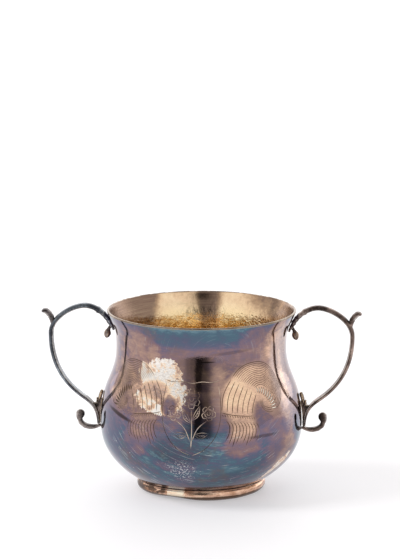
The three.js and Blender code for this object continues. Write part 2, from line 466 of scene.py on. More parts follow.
# Colours of what lies on the tarnish or in the cuts
DULL_SILVER = (0.5, 0.44, 0.41)
BROWN_FILM = (0.2, 0.135, 0.105)
# pale pink, a painted highlight along the bowl's right edge
PINK_HIGHLIGHT = (0.66, 0.55, 0.53)
PALE_SCRATCH = (0.62, 0.68, 0.68)
CRUMBLED_WHITE = (0.93, 0.91, 0.88)
BLACK_STAIN_AND_REFLECTION = (0.03, 0.02, 0.018)
RIM_BROWN = (0.42, 0.34, 0.25)
PALE_LINE = (0.72, 0.58, 0.45)
DARK_LINE = (0.1, 0.06, 0.035)

# How thick the tarnish is, 0 bare to 1, by height as a share of the rim's
TARNISH_BY_HEIGHT = [
    (0.0, 0.45), (0.08, 0.6), (0.16, 0.72), (0.32, 0.78), (0.42, 0.66), (0.5, 0.5),
    (0.62, 0.46), (0.8, 0.42), (0.87, 0.52), (0.92, 0.7), (0.97, 0.8), (1.0, 0.95),
]

# Ovals on the bowl are in millimetres: place round the belly from the front's middle, height, half width and
# half height. Each held place goes on with the tarnish wanted there and how much of it comes through.
# The places at the bowl's right edge, at 57 and 60 round, are thinned partly as a painted highlight.
HELD_PLACES = [
    (-38, 84, 11, 9, 0.34, 0.75), (-27, 81, 4.5, 6, 0.26, 0.6), (-5, 88, 22, 4, 0.76, 0.6),
    (14, 91, 16, 3, 0.8, 0.6), (4, 79, 26, 4, 0.5, 0.5), (-10, 66, 7, 13, 0.47, 0.7),
    (11, 61, 7, 17, 0.33, 0.75), (26, 34, 12, 6, 0.36, 0.8), (-35, 34, 9, 6, 0.42, 0.7),
    (40, 42, 7, 4, 0.62, 0.6), (50, 33, 13, 18, 0.42, 0.7), (-52, 62, 11, 16, 0.3, 0.6),
    (-57, 35, 11, 16, 0.64, 0.7), (22, 22, 12, 5, 0.84, 0.5), (36, 84, 12, 10, 0.43, 0.6),
    (52, 50, 8, 7, 0.34, 0.6), (57, 74, 9, 24, 0.24, 0.85), (60, 26, 9, 12, 0.3, 0.7),
]

# Each stain and patch goes on with its slope and its strength; the first stain line, short and dark by the
# front's middle, is a painted reflection
STAIN_AND_REFLECTION_LINES = [
    (7, 77.4, 4.5, 0.4, 0, 1), (-48, 46.5, 11, 1.1, 0.2, 1), (38, 38, 9, 0.9, 0, 0.6),
    (22, 81.92, 13, 0.9, -0.06, 0.35),
]
# The patches at the bowl's right edge, at 56 and 63 round, are worn bare and partly a painted highlight.
BARE_PATCHES = [
    (-21, 70.5, 12.5, 8, 0, 1), (-12, 61, 6.5, 9, 0, 1), (-31, 69, 8, 6, 0.3, 0.85),
    (-24, 62, 10, 5, 0, 0.8), (-30, 56, 8, 4.2, 0.3, 1), (-22, 53, 7, 3, 0.2, 1),
    (56, 17.5, 8.5, 4.2, -0.75, 0.9), (63, 68, 3, 14, 0.2, 0.5), (120, 44, 8, 9, 0.4, 0.6),
    (-128, 68, 14, 5, -0.3, 0.6),
]

# The point on the front about which the wiping strokes curve
WIPING_MIDDLE = (12, -44, 78)


class Outside(Finish):
    """The finish of the bowl's outside, with the places and noises that its layers share."""

    def __init__(self):
        super().__init__("tarnished_silver_outside")
        self.spot = self.place()
        x, y, self.z = self.parts(self.spot)
        self.turn = self.angle_round(x, y) * BELLY_RADIUS
        tall_lumps = self.stretched(self.spot, (1, 1, 1.5))
        self.lumps = self.cloud(tall_lumps, 0.11, detail=6, roughness=0.6, warp=0.5)
        flat_grain = self.stretched(self.spot, (1, 1, 2.5))
        self.fine = self.cloud(flat_grain, 0.6, detail=6, roughness=0.72)

    def oval(self, middle, height, wide, tall, ragged, slope=0):
        return oval(self.turn, self.z, middle, height, wide, tall, ragged, slope)


def tarnished_outside():
    """The outside of the bowl: tarnish in bands and streaks, rubbed bare in places, over the engraving, with
    painted reflections low on the front and painted highlights at its right edge and on the right plume's
    bars.
    """
    outside = Outside()
    turn, z, lumps, fine = outside.turn, outside.z, outside.lumps, outside.fine
    within = outside.attribute("plume")
    plumes = worn_plumes(within, lumps, fine)
    bare, inner = bare_patches(outside)
    strokes, hairs = wiped(outside)

    amount = tarnish_amount(outside, strokes)
    worn = plumes * (0.55 + turn.step(-4, 4) * 0.42)
    amount = amount - worn * (amount - thin_tarnish(outside, within))
    amount = amount * (1 - bare) + bare * inner
    film = outside.cloud(outside.spot, 0.055, detail=5, roughness=0.65).step(0.5, 0.68) * (1 - bare)
    colour = outside.layers(
        outside.ramp(amount, TARNISH),
        (bare * fine.step(0.4, 0.7) * z.step(54, 62) * 0.6, DULL_SILVER),
        (film * (1 - plumes) * 0.45, BROWN_FILM),
        # painted highlight: pale pink over the bowl's right edge
        (outside.oval(61, 66, 10, 24, fine) * 0.55, PINK_HIGHLIGHT),
        (hairs * (1 - bare) * 0.6, PALE_SCRATCH),
        (crumbled(outside), CRUMBLED_WHITE),
        # stains, with painted reflections of dark things low on the front and by its middle
        (stains_and_dark_reflections(outside) * 0.85, BLACK_STAIN_AND_REFLECTION),
    )
    colour = engraved_lines(outside, colour, within, bare)
    rim = (z + (fine - 0.5) * 0.7).step(RIM_HEIGHT - 0.9, RIM_HEIGHT - 0.3)
    colour = outside.blend(rim * 0.7, colour, RIM_BROWN)

    roughness = fine * 0.06 + bare * 0.2 + plumes * 0.1 + hairs * 0.2
    outside.set(Base_Color=colour, Metallic=1, Roughness=roughness)
    relief = outside.bump(fine + lumps * 0.7, 0.035, 0.35)
    outside.set(Normal=outside.bump(bare * fine, 0.2, 0.5, relief))
    return outside.material


def tarnish_amount(outside, strokes):
    """How thick the tarnish is, 0 bare to 1, before the plumes and the patches are rubbed."""
    spot = outside.spot
    drift = outside.cloud(spot, 0.035, detail=4, warp=0.6)
    level_streaks = outside.stretched(spot, (0.22, 0.22, 2.4), (0, 0.06, 0))
    wipes = outside.cloud(level_streaks, 0.55, detail=6, roughness=0.7)
    amount = tarnish_bands(outside) + strokes
    for grain, weight in ((drift, 0.4), (outside.lumps, 0.6), (outside.fine, 0.45), (wipes, 0.4)):
        amount = amount + (grain - 0.5) * weight
    return held_places(outside, amount)


def tarnish_bands(outside):
    """The tarnish by height; the blue band under the rim is at the front."""
    turn, z = outside.turn, outside.z
    band = outside.ramp(z / RIM_HEIGHT, TARNISH_BY_HEIGHT)
    front = turn.size().step(52, 24)
    return band - (1 - front) * (z.step(76, 88) * 0.24 + z.step(46, 20) * 0.1)


def held_places(outside, amount):
    """Thinner, redder places and bluer ones, where the cup was held or wiped; those at the right edge are
    also a painted highlight.
    """
    for middle, height, wide, tall, wanted, hold in HELD_PLACES:
        place = outside.oval(middle, height, wide, tall, outside.lumps)
        amount = amount - place * (amount - wanted - (outside.lumps - 0.5) * 0.3) * hold
    return amount


def thin_tarnish(outside, within):
    """The thin tarnish that handling leaves on the plumes: pale gold above, browner low down and outside."""
    turn, z = outside.turn, outside.z
    low = z.step(58, 48) * 0.08 + z.step(42, 33) * 0.28
    far = turn.size().step(24, 50) * z.step(48, 56) * 0.1
    uneven = (outside.lumps - 0.4) * 0.22 + (outside.fine - 0.45) * 0.25
    return low + far + (1 - within) * 0.15 + uneven + 0.11


def wiped(outside):
    """Curved wiping strokes low on the belly, and fine pale hair scratches that follow them."""
    spot, turn, z = outside.spot, outside.turn, outside.z
    reach = outside.near(spot, WIPING_MIDDLE)
    along_strokes = outside.joined(reach * 0.55, turn * 0.035, z * 0.02)
    strokes = outside.cloud(along_strokes, 1, detail=5, roughness=0.7)
    along_hairs = outside.joined(reach * 2.4, turn * 0.05, z * 0.03)
    hairs = outside.cloud(along_hairs, 1, detail=3, roughness=0.6).step(0.57, 0.68)
    broken = outside.cloud(spot, 0.16, detail=3).step(0.45, 0.58)
    low = z.step(50, 30) * turn.size().step(85, 40)
    return (strokes - 0.5) * (0.22 + low * 0.75), hairs * broken * (0.25 + low * 0.75)


def stains_and_dark_reflections(outside):
    """Short dark lines at the left and at the right, a painted reflection of a line by the front's middle,
    and one of the dark gap low on the front.
    """
    ragged = outside.fine * 0.5 + 0.25
    stains = []
    for middle, height, wide, tall, slope, strength in STAIN_AND_REFLECTION_LINES:
        stains.append(outside.oval(middle, height, wide, tall, ragged, slope) * strength)
    # painted reflection of the dark gap, low on the front
    low_gap_reflection = outside.oval(-8, 32, 16, 8, outside.fine) * 0.4
    return low_gap_reflection.most(*stains)


def worn_plumes(within, lumps, fine):
    """1 on the engraved plumes and the fringes under them, where handling keeps the tarnish thin."""
    return (within + (lumps - 0.5) * 0.8 + (fine - 0.5) * 0.5).step(0.02, 0.7)


def bare_patches(outside):
    """Ragged patches where the tarnish is rubbed or flaked off, and how thin it is in there; those at the
    right edge are also a painted highlight.
    """
    ragged = outside.cloud(outside.spot, 0.4, detail=7, roughness=0.68)
    patches = []
    for middle, height, wide, tall, slope, strength in BARE_PATCHES:
        reach = reach_in(outside.turn, outside.z, middle, height, wide, tall, slope)
        patches.append((reach + (ragged - 0.5) * 3.4).step(1.06, 0.86) * strength)
    bare = patches[0].most(*patches[1:])
    veil = outside.cloud(outside.spot, 0.16, detail=7, roughness=0.72)
    inner = (veil - 0.47).most(0) * 1.8
    inner = inner + outside.oval(-15, 54.5, 4, 5, veil) * 0.45 + outside.oval(-25, 62, 9, 4.5, veil) * 0.2
    return bare, inner


def crumbled(outside):
    """A crumbly white place low on the front, with single flecks about the bowl."""
    spot, z = outside.spot, outside.z
    crumbs = outside.cloud(spot, 1.1, detail=5, roughness=0.75)
    reach = reach_in(outside.turn, z, -8, 21, 11, 7)
    crumbly = (crumbs - reach * 0.1).step(0.5, 0.6)
    flecks = outside.cells(spot, 0.3).step(0.09, 0.04)
    flecked = outside.cloud(spot, 0.05).step(0.56, 0.64) * z.step(50, 40)
    return crumbly.most(flecks * flecked) * 0.7


def engraved_lines(outside, colour, within, bare):
    """The cuts are dark with dirt on the plumes and the patches, and pale in places on the shield; the broad
    bars on the right plume have a painted highlight down their middles.
    """
    depth = outside.attribute("cut")
    cut = depth.step(0.02, 0.42) * outside.cloud(outside.spot, 0.2).step(0.15, 0.45)
    dirty = outside.cloud(outside.spot, 0.09, detail=4).step(0.4, 0.6)
    line = outside.blend(dirty, PALE_LINE, DARK_LINE)
    line = outside.blend(within.step(0.1, 0.3).most(bare), line, DARK_LINE)
    # painted highlight: cream silver down the middles of the broad bars, on the right plume only
    bar_highlights = depth.step(0.9, 1.5) * outside.turn.step(-30, 0)
    return outside.layers(colour, (cut, line), (bar_highlights, CREAM_SILVER))


# Colours of the gilding under its film, of its turned lines, and of the lip
GILT = [
    (0.0, (0.98, 0.76, 0.5)), (0.35, (0.82, 0.58, 0.37)),
    (0.7, (0.42, 0.27, 0.17)), (1.0, (0.23, 0.145, 0.11)),
]
DEEP_GOLD = (1, 0.78, 0.42)
PALE_RING = (0.98, 0.8, 0.5)
DARK_RING = (0.3, 0.17, 0.07)
LIP_DARK = (0.12, 0.085, 0.065)
LIP_GOLD = (0.38, 0.29, 0.21)
# white of the chips at the lip's back, partly a painted highlight
LIP_WHITE = (0.9, 0.86, 0.8)


def gilt_inside():
    """The gilt inside: satin gold with fine turned lines, browner towards the sides and the rim, and a brown
    column on the back wall that is a painted reflection of a dark gap.
    """
    finish = Finish("gilt_inside")
    spot = finish.place()
    x, y, z = finish.parts(spot)
    drift = finish.cloud(spot, 0.07, detail=5, warp=0.5)
    rings = finish.cloud(finish.stretched(spot, (0.1, 0.1, 5)), 0.5, detail=5, roughness=0.78)
    mottle = finish.cloud(spot, 0.45, detail=6, roughness=0.7)
    streaks = finish.cloud(finish.stretched(spot, (1, 1, 0.12)), 0.5, detail=4, roughness=0.65)
    back = y.step(0, 10)
    # painted reflection: a brown column down the middle of the back wall, where the dark gap between the soft
    # boxes is mirrored
    painted_gap_column = x.between(-7, -1, 4, 11) * back
    sides = x.step(-22, -30) + x.step(-32, -46) * 0.25 + x.step(14, 42) * 0.65
    film = (z - 84) * 0.03 + sides + painted_gap_column * 0.85
    film = film + (drift - 0.5) * 1.2 + (mottle - 0.5) * 0.7 + (streaks - 0.5) * z.step(90, 80) * 1.4
    # the deep gold is dulled on the sides and in the painted reflection column
    dull_sides_and_gap_column = painted_gap_column.most(x.step(-20, -30), x.step(14, 36)) * back
    lines = z.step(87, 79)
    colour = finish.layers(
        finish.ramp(film.most(0), GILT),
        (z.step(93, 80) * (0.85 - dull_sides_and_gap_column * 0.8), DEEP_GOLD),
        ((rings - 0.42) * (0.5 + lines), PALE_RING),
        ((0.5 - rings).most(0) * lines * 3, DARK_RING),
    )
    roughness = 0.06 + z.step(92, 82) * 0.06 + rings * 0.08 + mottle * 0.06
    finish.set(Base_Color=colour, Metallic=1, Roughness=roughness)
    crackle = finish.cells(spot, 0.55).step(0.1, 0.5) * oval(x, z, 23, 84, 12, 4, mottle)
    relief = finish.bump(rings + mottle + streaks + crackle * 2, 0.08, 0.5)
    dimples = finish.cloud(finish.stretched(spot, (1, 1, 0.7)), 0.3, detail=4, roughness=0.6)
    finish.set(Normal=finish.bump(dimples * z.step(92, 84), 0.55, 1, relief))
    return finish.material


def worn_lip():
    """The edge of the rim: a thin brown-gold line, with white chips at the back that are partly a painted
    highlight.
    """
    finish = Finish("worn_lip")
    spot = finish.place()
    _, y, _ = finish.parts(spot)
    wear = finish.cloud(spot, 0.14, detail=5)
    # white chips at the back, partly a painted highlight on the far side of the lip
    chipped_and_highlit = wear.step(0.44, 0.6) * (y.step(5, 30) * 0.7 + 0.1)
    colour = finish.layers(finish.blend(wear, LIP_DARK, LIP_GOLD), (chipped_and_highlit, LIP_WHITE))
    finish.set(Base_Color=colour, Metallic=1, Roughness=0.16 + wear * 0.2)
    finish.set(Normal=finish.bump(wear, 0.1, 0.4))
    return finish.material


# Colours of the foot ring, from dark to bright
COPPERY = [
    (0.36, (0.2, 0.1, 0.055)), (0.5, (0.45, 0.25, 0.15)), (0.62, (0.74, 0.46, 0.33)),
    (0.78, (0.9, 0.63, 0.45)), (0.95, (0.96, 0.84, 0.66)),
]
# dark of the foot's spots, and of its painted shade and painted reflection
FOOT_DARK = (0.04, 0.025, 0.02)


def coppery_foot():
    """The foot ring: a warm rose tarnish, bright in patches and partly with a painted highlight, dark in
    spots at the left, with painted shade in its corners and a painted reflection of the dark gap.
    """
    finish = Finish("coppery_foot")
    spot = finish.place()
    x, y, z = finish.parts(spot)
    turn = finish.angle_round(x, y) * FOOT_BODY_RADIUS
    drift = finish.cloud(finish.stretched(spot, (1, 1, 2.4)), 0.12, detail=5, warp=0.6)
    fine = finish.cloud(spot, 0.9, detail=5, roughness=0.65)
    rows = finish.cloud(finish.stretched(spot, (0.12, 0.12, 2.4)), 0.6, detail=4, roughness=0.6)
    # a bright patch left of the front: a bare shiny spot and a painted highlight of a bright light
    bare_spot_and_highlight = (turn + (fine - 0.5) * 6).between(-17.5, -16.5, -8, -7)
    bright = bare_spot_and_highlight * 0.42 + turn.bell(3, 14) * 0.14 + turn.step(4, 22) * 0.08 + 0.05
    colour = finish.ramp(drift * 0.8 + fine * 0.2 + (rows - 0.5) * 0.8 + bright, COPPERY)
    freckles = finish.cloud(finish.stretched(spot, (1, 1, 2)), 0.2, detail=5).step(0.42, 0.5)
    # painted reflection of the dark gap as a dark streak in the middle, and painted shade along the lower
    # edge and in the groove; the freckles are dark spots in the tarnish
    gap_reflection_streak = oval(turn, z, 2, 4.3, 9, 0.6, fine) * 0.55
    low_edge_shade = (z + fine * 0.8).step(3.3, 2.6)
    groove = (z + fine * 0.3).step(5.3, 5.6) * 0.6
    deep = (freckles * turn.step(-17, -19)).most(gap_reflection_streak, low_edge_shade, groove)
    colour = finish.blend(deep * 0.85, colour, FOOT_DARK)
    finish.set(Base_Color=colour, Metallic=1, Roughness=0.02 + fine * 0.08 + deep * 0.2)
    finish.set(Normal=finish.bump(fine + drift * 3, 0.12, 0.4))
    return finish.material


# Colours of the handles' tarnish, from the dark film to where it thins
STEEL_BLUE = [(0.36, (0.065, 0.072, 0.084)), (0.52, (0.16, 0.18, 0.205)), (0.68, (0.34, 0.38, 0.41))]
UMBER = [(0.36, (0.06, 0.042, 0.034)), (0.52, (0.18, 0.13, 0.11)), (0.68, (0.42, 0.32, 0.27))]
# rubbed silver, which also colours the painted highlight on the strap's flange
RUBBED_AND_HIGHLIT_SILVER = (0.85, 0.8, 0.75)
RUBBED_GOLD = (0.66, 0.5, 0.34)
HANDLE_DARK = (0.03, 0.024, 0.022)

# Corners of the right handle about which its finish is darker
CREVICE = (77.3, 0, 91.4)
BUD_ROOT = (48.2, 0, 86.4)
BRACKET_MIDDLE = (57, 0, 44)
SCROLL_ROOT = (57.8, 0, 33)
SCROLL_EYE = (61.2, 0, 37)


def handle_tarnish(name, corners, rubbed, brown_share=0):
    """A handle's tarnish: steel blue on one side of the cup and brown on the other, darker about its corners,
    with rubbed places and a painted highlight on the strap's flange.

    corners are points on the right handle, each with the reach of the darkening about it."""
    finish = Finish(name)
    spot = finish.place()
    x, _, z = finish.parts(spot)
    drift = finish.cloud(spot, 0.12, detail=4, warp=0.4)
    fine = finish.cloud(spot, 0.9, detail=6, roughness=0.68)
    film = drift + (fine - 0.5) * 0.5
    right = (x + (drift - 0.5) * 40 + (z - 70) * 0.2).step(-30, 40)
    low = (z + drift * 10).step(60, 45) * 0.7
    brown = right.most(brown_share, low)
    rub = finish.attribute("rub") * (fine + drift - 0.35).step(0.3, 0.65)
    mirrored = finish.node("ShaderNodeVectorMath", {"operation": "ABSOLUTE"}, {0: spot})
    darkened_corners = []
    for place, reach in corners:
        darkened_corners.append((finish.near(mirrored, place) + (fine - 0.5) * 2).step(reach, reach * 0.35))
    deep = darkened_corners[0].most(*darkened_corners[1:])
    colour = finish.layers(
        finish.blend(brown, finish.ramp(film, STEEL_BLUE), finish.ramp(film, UMBER)),
        # rubbed places, and the painted highlight along the strap's flange
        (rub, rubbed),
        (deep * 0.85, HANDLE_DARK),
    )
    finish.set(Base_Color=colour, Metallic=1, Roughness=0.16 + fine * 0.16 + deep * 0.25)
    finish.set(Normal=finish.bump(fine + drift, 0.12, 0.5))
    return finish.material


# Pieces


def finish_piece(name, bm, materials, nodes, turned=False):
    """Bring a piece to metres and give it its finish and the nodes that it replaces."""
    if turned:
        bmesh.ops.rotate(bm, verts=bm.verts, matrix=Matrix.Rotation(math.pi, 3, "Z"))
    bmesh.ops.scale(bm, verts=bm.verts, vec=(MM, MM, MM))
    mesh = bpy.data.meshes.new(name)
    bm.to_mesh(mesh)
    bm.free()
    for material in materials:
        mesh.materials.append(material)
    mesh.shade_smooth()
    piece = bpy.data.objects.new(name, mesh)
    bpy.context.collection.objects.link(piece)
    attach(piece, "root")
    if nodes:
        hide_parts(*nodes)
    return piece


def close_seams(bm, gap=1e-3):
    """Join corners that lie together, and turn every face outwards."""
    bmesh.ops.remove_doubles(bm, verts=bm.verts, dist=gap)
    bmesh.ops.recalc_face_normals(bm, faces=bm.faces)


def spin_round(bm, section, steps):
    """Spin a section all the way round the cup's axis."""
    bmesh.ops.spin(bm, geom=section, cent=(0, 0, 0), axis=(0, 0, 1), angle=2 * math.pi, steps=steps,
                   use_merge=True)


# Engraving, in millimetres round the belly from the front's middle and in height. A plume is drawn for the
# right side, from the shield's middle, and mirrored. A stroke is its points and its width.

SHIELD_MIDDLE = -2.5
OUTER_BARB = [
    (24, 68.5), (28.5, 72.5), (33.5, 74.8), (40, 75.6), (46, 75), (51.5, 72.8),
    (56, 69), (58.8, 64), (59, 58.5), (56, 53.8), (51, 50.2),
]
INNER_BARB = [
    (37.6, 62.4), (39.4, 63), (41, 63.6), (42.6, 63.8), (44.2, 63.6), (46.4, 62.6),
    (48.4, 61), (50, 59), (51.2, 56.8), (51.8, 54.8), (51.8, 52.6),
]
PLUME_EDGE = [
    (15.6, 52.2), (16.6, 59), (19.2, 66.5), (24.5, 70.6), (33.5, 75.2), (44, 75.8), (54.5, 71.5),
    (59.4, 62.5), (56, 53.5), (48, 49.2), (42.5, 50.6), (40.6, 54), (38, 54.5), (36.6, 52),
    (35.6, 48.9), (37.2, 43.5), (35.4, 34), (26, 32), (18.1, 36), (20.3, 44), (18, 50.6),
]

# How far the wear fades, in millimetres across a plume's edge
PLUME_FADE = 6

# A flower's petal: reach from the eye, and turn from the petal's middle as a share of half its angle
PETAL = [(0.3, -0.5), (0.72, -0.86), (1, -0.3), (0.9, 0), (1, 0.3), (0.72, 0.86), (0.3, 0.5)]


def chain(points):
    """A smooth stroke through points, given back as points at even steps."""
    points = [Vector(p) for p in points]
    ways = [points[1] - points[0]]
    ways += [(after - before) / 2 for before, after in zip(points, points[2:])]
    ways += [points[-1] - points[-2]]
    stretches = []
    for (a, way_a), (b, way_b) in zip(zip(points, ways), zip(points[1:], ways[1:])):
        stretches.append([a, a + way_a * STROKE_BOW, b - way_b * STROKE_BOW, b])
    line = Line(*stretches, marks=24)
    count = max(3, round(line.length / CUT_STEP))
    return [line.at(i / count) for i in range(count + 1)]


def plume():
    """A plume that rises from a collar, arches over and droops, and the fringe below the collar."""
    return plume_barbs() + plume_bars() + plume_curl() + plume_stems() + plume_collar() + plume_fringe()


def plume_barbs():
    """The long barbs over the plume's head; every second one is shorter, so that the tip isn't crowded."""
    strokes = []
    for number, share in enumerate(even_shares(14)):
        barb = [(mix(a, c, share), mix(b, d, share)) for (a, b), (c, d) in zip(OUTER_BARB, INNER_BARB)]
        short = 2 if number % 2 else 1 if number % 4 else 0
        width = BARB_WIDTH if number else STEM_WIDTH
        strokes.append((chain(barb[:len(barb) - short]), width))
    return strokes


def plume_bars():
    """The short broad bars across the plume's inner ridge."""
    ridge = Line([(39.6, 61.4), (45, 61.6), (50, 57), (49.6, 51.2)])
    strokes = []
    for even in even_shares(11):
        share = mix(0.02, 0.98, even)
        half = mix(1.7, 3.1, smooth(share, 0, 0.6))
        bar = [ridge.away(share, -half), ridge.away(share + 0.02, 0.4), ridge.away(share, half)]
        strokes.append((chain(bar), BAR_WIDTH))
    return strokes


def plume_curl():
    """Three lines, one inside the other, round the hollow under the drooping tip."""
    strokes = []
    for inset in (0, 1.1, 2.2):
        line = [(49.5 - inset * 0.6, 50 + inset), (46, 49.6 + inset), (42.6, 51 + inset * 0.9),
                (40.4 + inset * 0.7, 54), (41 + inset * 0.5, 57.6)]
        strokes.append((chain(line), BARB_WIDTH))
    return strokes


def plume_stems():
    """The stems that rise from the collar to the head."""
    strokes = []
    for share in even_shares(7):
        foot = (mix(16.4, 33.6, share), mix(51.8, 49.2, share))
        middle = (mix(18.2, 35.4, share), mix(60.6, 54.6, share))
        head = (mix(24, 39.4, share), mix(68.5, 60.4, share ** 1.2))
        strokes.append((chain([foot, middle, head]), STEM_WIDTH))
    return strokes


def plume_collar():
    """The line of the collar and the row of beads under it."""
    strokes = [(chain([(15.6, 52.2), (22, 50.6), (30, 49.4), (35.6, 48.9)]), STEM_WIDTH)]
    for share in even_shares(14):
        left, top = mix(16.4, 34.4, share), mix(51.4, 48.6, share)
        bead = [(left, top), (left + 0.6, top - 0.8), (left + 0.7, top - 1.7)]
        strokes.append((chain(bead), BARB_WIDTH))
    return strokes


def plume_fringe():
    """The fringe that hangs from the collar, uneven at its ends."""
    strokes = []
    for share in even_shares(10):
        left, top = mix(18.2, 35.2, share), mix(48.8, 46.4, share)
        end = (left - 0.4, 37 - 3.5 * math.sin(share * 7) ** 2)
        thread = [(left, top), (left + 2.1, top - 3.6), (left + 1.6, top - 8), end]
        strokes.append((chain(thread), STEM_WIDTH))
    return strokes


def inside_plumes(points):
    """How far points lie inside either plume's edge: 0 well outside, a third on the edge, 1 well inside."""
    best = np.zeros(len(points))
    for side in (-1, 1):
        edge = np.array([(SHIELD_MIDDLE + side * across, height) for across, height in PLUME_EDGE])
        ahead = np.roll(edge, -1, 0)
        ways = ahead - edge
        offset = points[:, None, :] - edge[None]
        share = np.clip((offset * ways).sum(2) / (ways ** 2).sum(1), 0, 1)
        distance = np.linalg.norm(offset - share[..., None] * ways, axis=2).min(1)
        spans = (edge[:, 1] > points[:, None, 1]) != (ahead[:, 1] > points[:, None, 1])
        rises = np.where(np.abs(ways[:, 1]) < 1e-9, 1e-9, ways[:, 1])
        crossing = edge[:, 0] + (points[:, None, 1] - edge[:, 1]) * ways[:, 0] / rises
        within = (spans & (points[:, None, 0] < crossing)).sum(1) % 2 == 1
        signed = np.where(within, distance, -distance)
        best = np.maximum(best, np.clip((signed + PLUME_FADE / 3) / PLUME_FADE, 0, 1))
    return best


def flower(middle, height, size, petals, turn):
    """A round flower: petals about a small eye, each shaded with a few lines."""
    strokes = [(ring(middle, height, size * 0.24), HATCH_WIDTH)]
    half = math.pi / petals
    for i in range(petals):
        angle = turn + 2 * math.pi * i / petals

        def out(reach, aside):
            way = angle + half * aside
            return (middle + size * reach * math.sin(way), height + size * reach * math.cos(way))

        strokes.append((chain([out(*corner) for corner in PETAL]), SHIELD_WIDTH))
        for aside in (-0.4, 0, 0.4):
            vein = [out(0.4, aside * 0.6), out(0.55, aside), out(0.7, aside)]
            strokes.append((chain(vein), HATCH_WIDTH))
    return strokes


def ring(middle, height, size):
    steps = 12
    points = []
    for i in range(steps + 1):
        angle = 2 * math.pi * i / steps
        points.append((middle + size * math.sin(angle), height + size * math.cos(angle)))
    return chain(points)


def leaf(root, tip, fat):
    """A pointed leaf with a vein; fat is its half width, and fat's sign is the way that it bends."""
    root, tip = Vector(root), Vector(tip)
    way = tip - root
    side = Vector((way.y, -way.x)).normalized() * fat
    strokes = [
        (chain([root, root + way * 0.45 + side * 1.5, tip]), SHIELD_WIDTH),
        (chain([root, root + way * 0.5 - side * 0.45, tip]), SHIELD_WIDTH),
        (chain([root, root + way * 0.5 + side * 0.5, root + way * 0.86 + side * 0.1]), HATCH_WIDTH),
    ]
    for along in (0.3, 0.45, 0.6):
        start = root + way * along + side * 0.5
        rib = [start, start + way * 0.09 + side * 0.3, start + way * 0.16 + side * 0.55]
        strokes.append((chain(rib), HATCH_WIDTH))
    return strokes


def shield():
    """A plain shield with a spray of three flowers on it."""
    middle = SHIELD_MIDDLE
    top = [(middle - 17.5, 68.2), (middle - 12, 67), (middle - 6, 67.3), (middle, 66.6),
           (middle + 6, 67.3), (middle + 12, 67), (middle + 17.5, 68.2)]
    strokes = [(chain(top), SHIELD_WIDTH)]
    for side in (-1, 1):
        edge = [(15.6, 67), (16.2, 58), (15.4, 48), (12.4, 39.5), (6.6, 33), (0, 29.6)]
        strokes.append((chain([(middle + side * across, height) for across, height in edge]), SHIELD_WIDTH))
        twig = [(0.3, 37), (3.4, 44), (8.6, 48.4)]
        strokes.append((chain([(middle + side * across, height) for across, height in twig]), STEM_WIDTH))
        strokes += flower(middle + side * 9.4, 51.8, 3.9, 5, side * 0.5)
        strokes += leaf((middle + side * 1.6, 41), (middle + side * 9.4, 41.6), side * 1.5)
    strokes.append((chain([(middle, 33), (middle + 0.4, 44), (middle, 54.2)]), STEM_WIDTH))
    strokes += flower(middle, 59, 5, 6, 0)
    strokes += leaf((middle + 0.3, 46.5), (middle - 5.2, 55), -1.3)
    strokes += leaf((middle + 0.3, 48), (middle + 4.8, 56), 1.2)
    return strokes


def engraving():
    """Every stroke, as its points and its width."""
    strokes = shield()
    for side in (-1, 1):
        for points, width in plume():
            strokes.append(([Vector((SHIELD_MIDDLE + side * p.x, p.y)) for p in points], width))
    return strokes


class Cuts:
    """The engraved strokes as V-shaped cuts: where their middles and edges run, and how deep a point is."""

    POINTS_AT_ONCE = 500

    def __init__(self, strokes):
        self.points = []
        self.edges = []
        starts, ends, start_widths, end_widths = [], [], [], []
        for stroke, width in strokes:
            widths = self.widths(stroke, width)
            middle = self.add_chain(stroke)
            for side in (-1, 1):
                lip = []
                for i in range(1, len(stroke) - 1):
                    way = (stroke[i + 1] - stroke[i - 1]).normalized()
                    lip.append(stroke[i] + Vector((way.y, -way.x)) * side * widths[i] / 2)
                self.add_chain(lip, middle[0], middle[-1])
            starts += stroke[:-1]
            ends += stroke[1:]
            start_widths += widths[:-1]
            end_widths += widths[1:]
        self.starts = np.array(starts)
        self.ways = np.array(ends) - self.starts
        self.start_widths = np.array(start_widths)
        self.end_widths = np.array(end_widths)

    @staticmethod
    def widths(stroke, full):
        """The width at each point of a stroke, which tapers to nothing at both ends."""
        last = len(stroke) - 1
        run = min(3, last / 3)
        return [full * min(1, min(i, last - i) / run) for i in range(last + 1)]

    def add_chain(self, points, first=None, last=None):
        """Add points and the edges that join them, and join the first and last to points already there."""
        numbers = list(range(len(self.points), len(self.points) + len(points)))
        self.points += points
        run = ([] if first is None else [first]) + numbers + ([] if last is None else [last])
        self.edges += list(zip(run, run[1:]))
        return numbers

    def measure(self, points):
        """Distance of points from the nearest stroke's middle, and their depth in the cuts as a share."""
        distances = np.zeros(len(points))
        depths = np.zeros(len(points))
        squares = np.maximum((self.ways ** 2).sum(1), 1e-12)
        for first in range(0, len(points), self.POINTS_AT_ONCE):
            block = slice(first, first + self.POINTS_AT_ONCE)
            offset = points[block][:, None, :] - self.starts[None]
            share = np.clip((offset * self.ways[None]).sum(2) / squares, 0, 1)
            distance = np.linalg.norm(offset - share[..., None] * self.ways[None], axis=2)
            width = self.start_widths + (self.end_widths - self.start_widths) * share
            depth = (width - 2 * distance) / STEM_WIDTH
            distances[block] = distance.min(1)
            depths[block] = np.maximum(depth.max(1), 0)
        return distances, depths


# Bowl


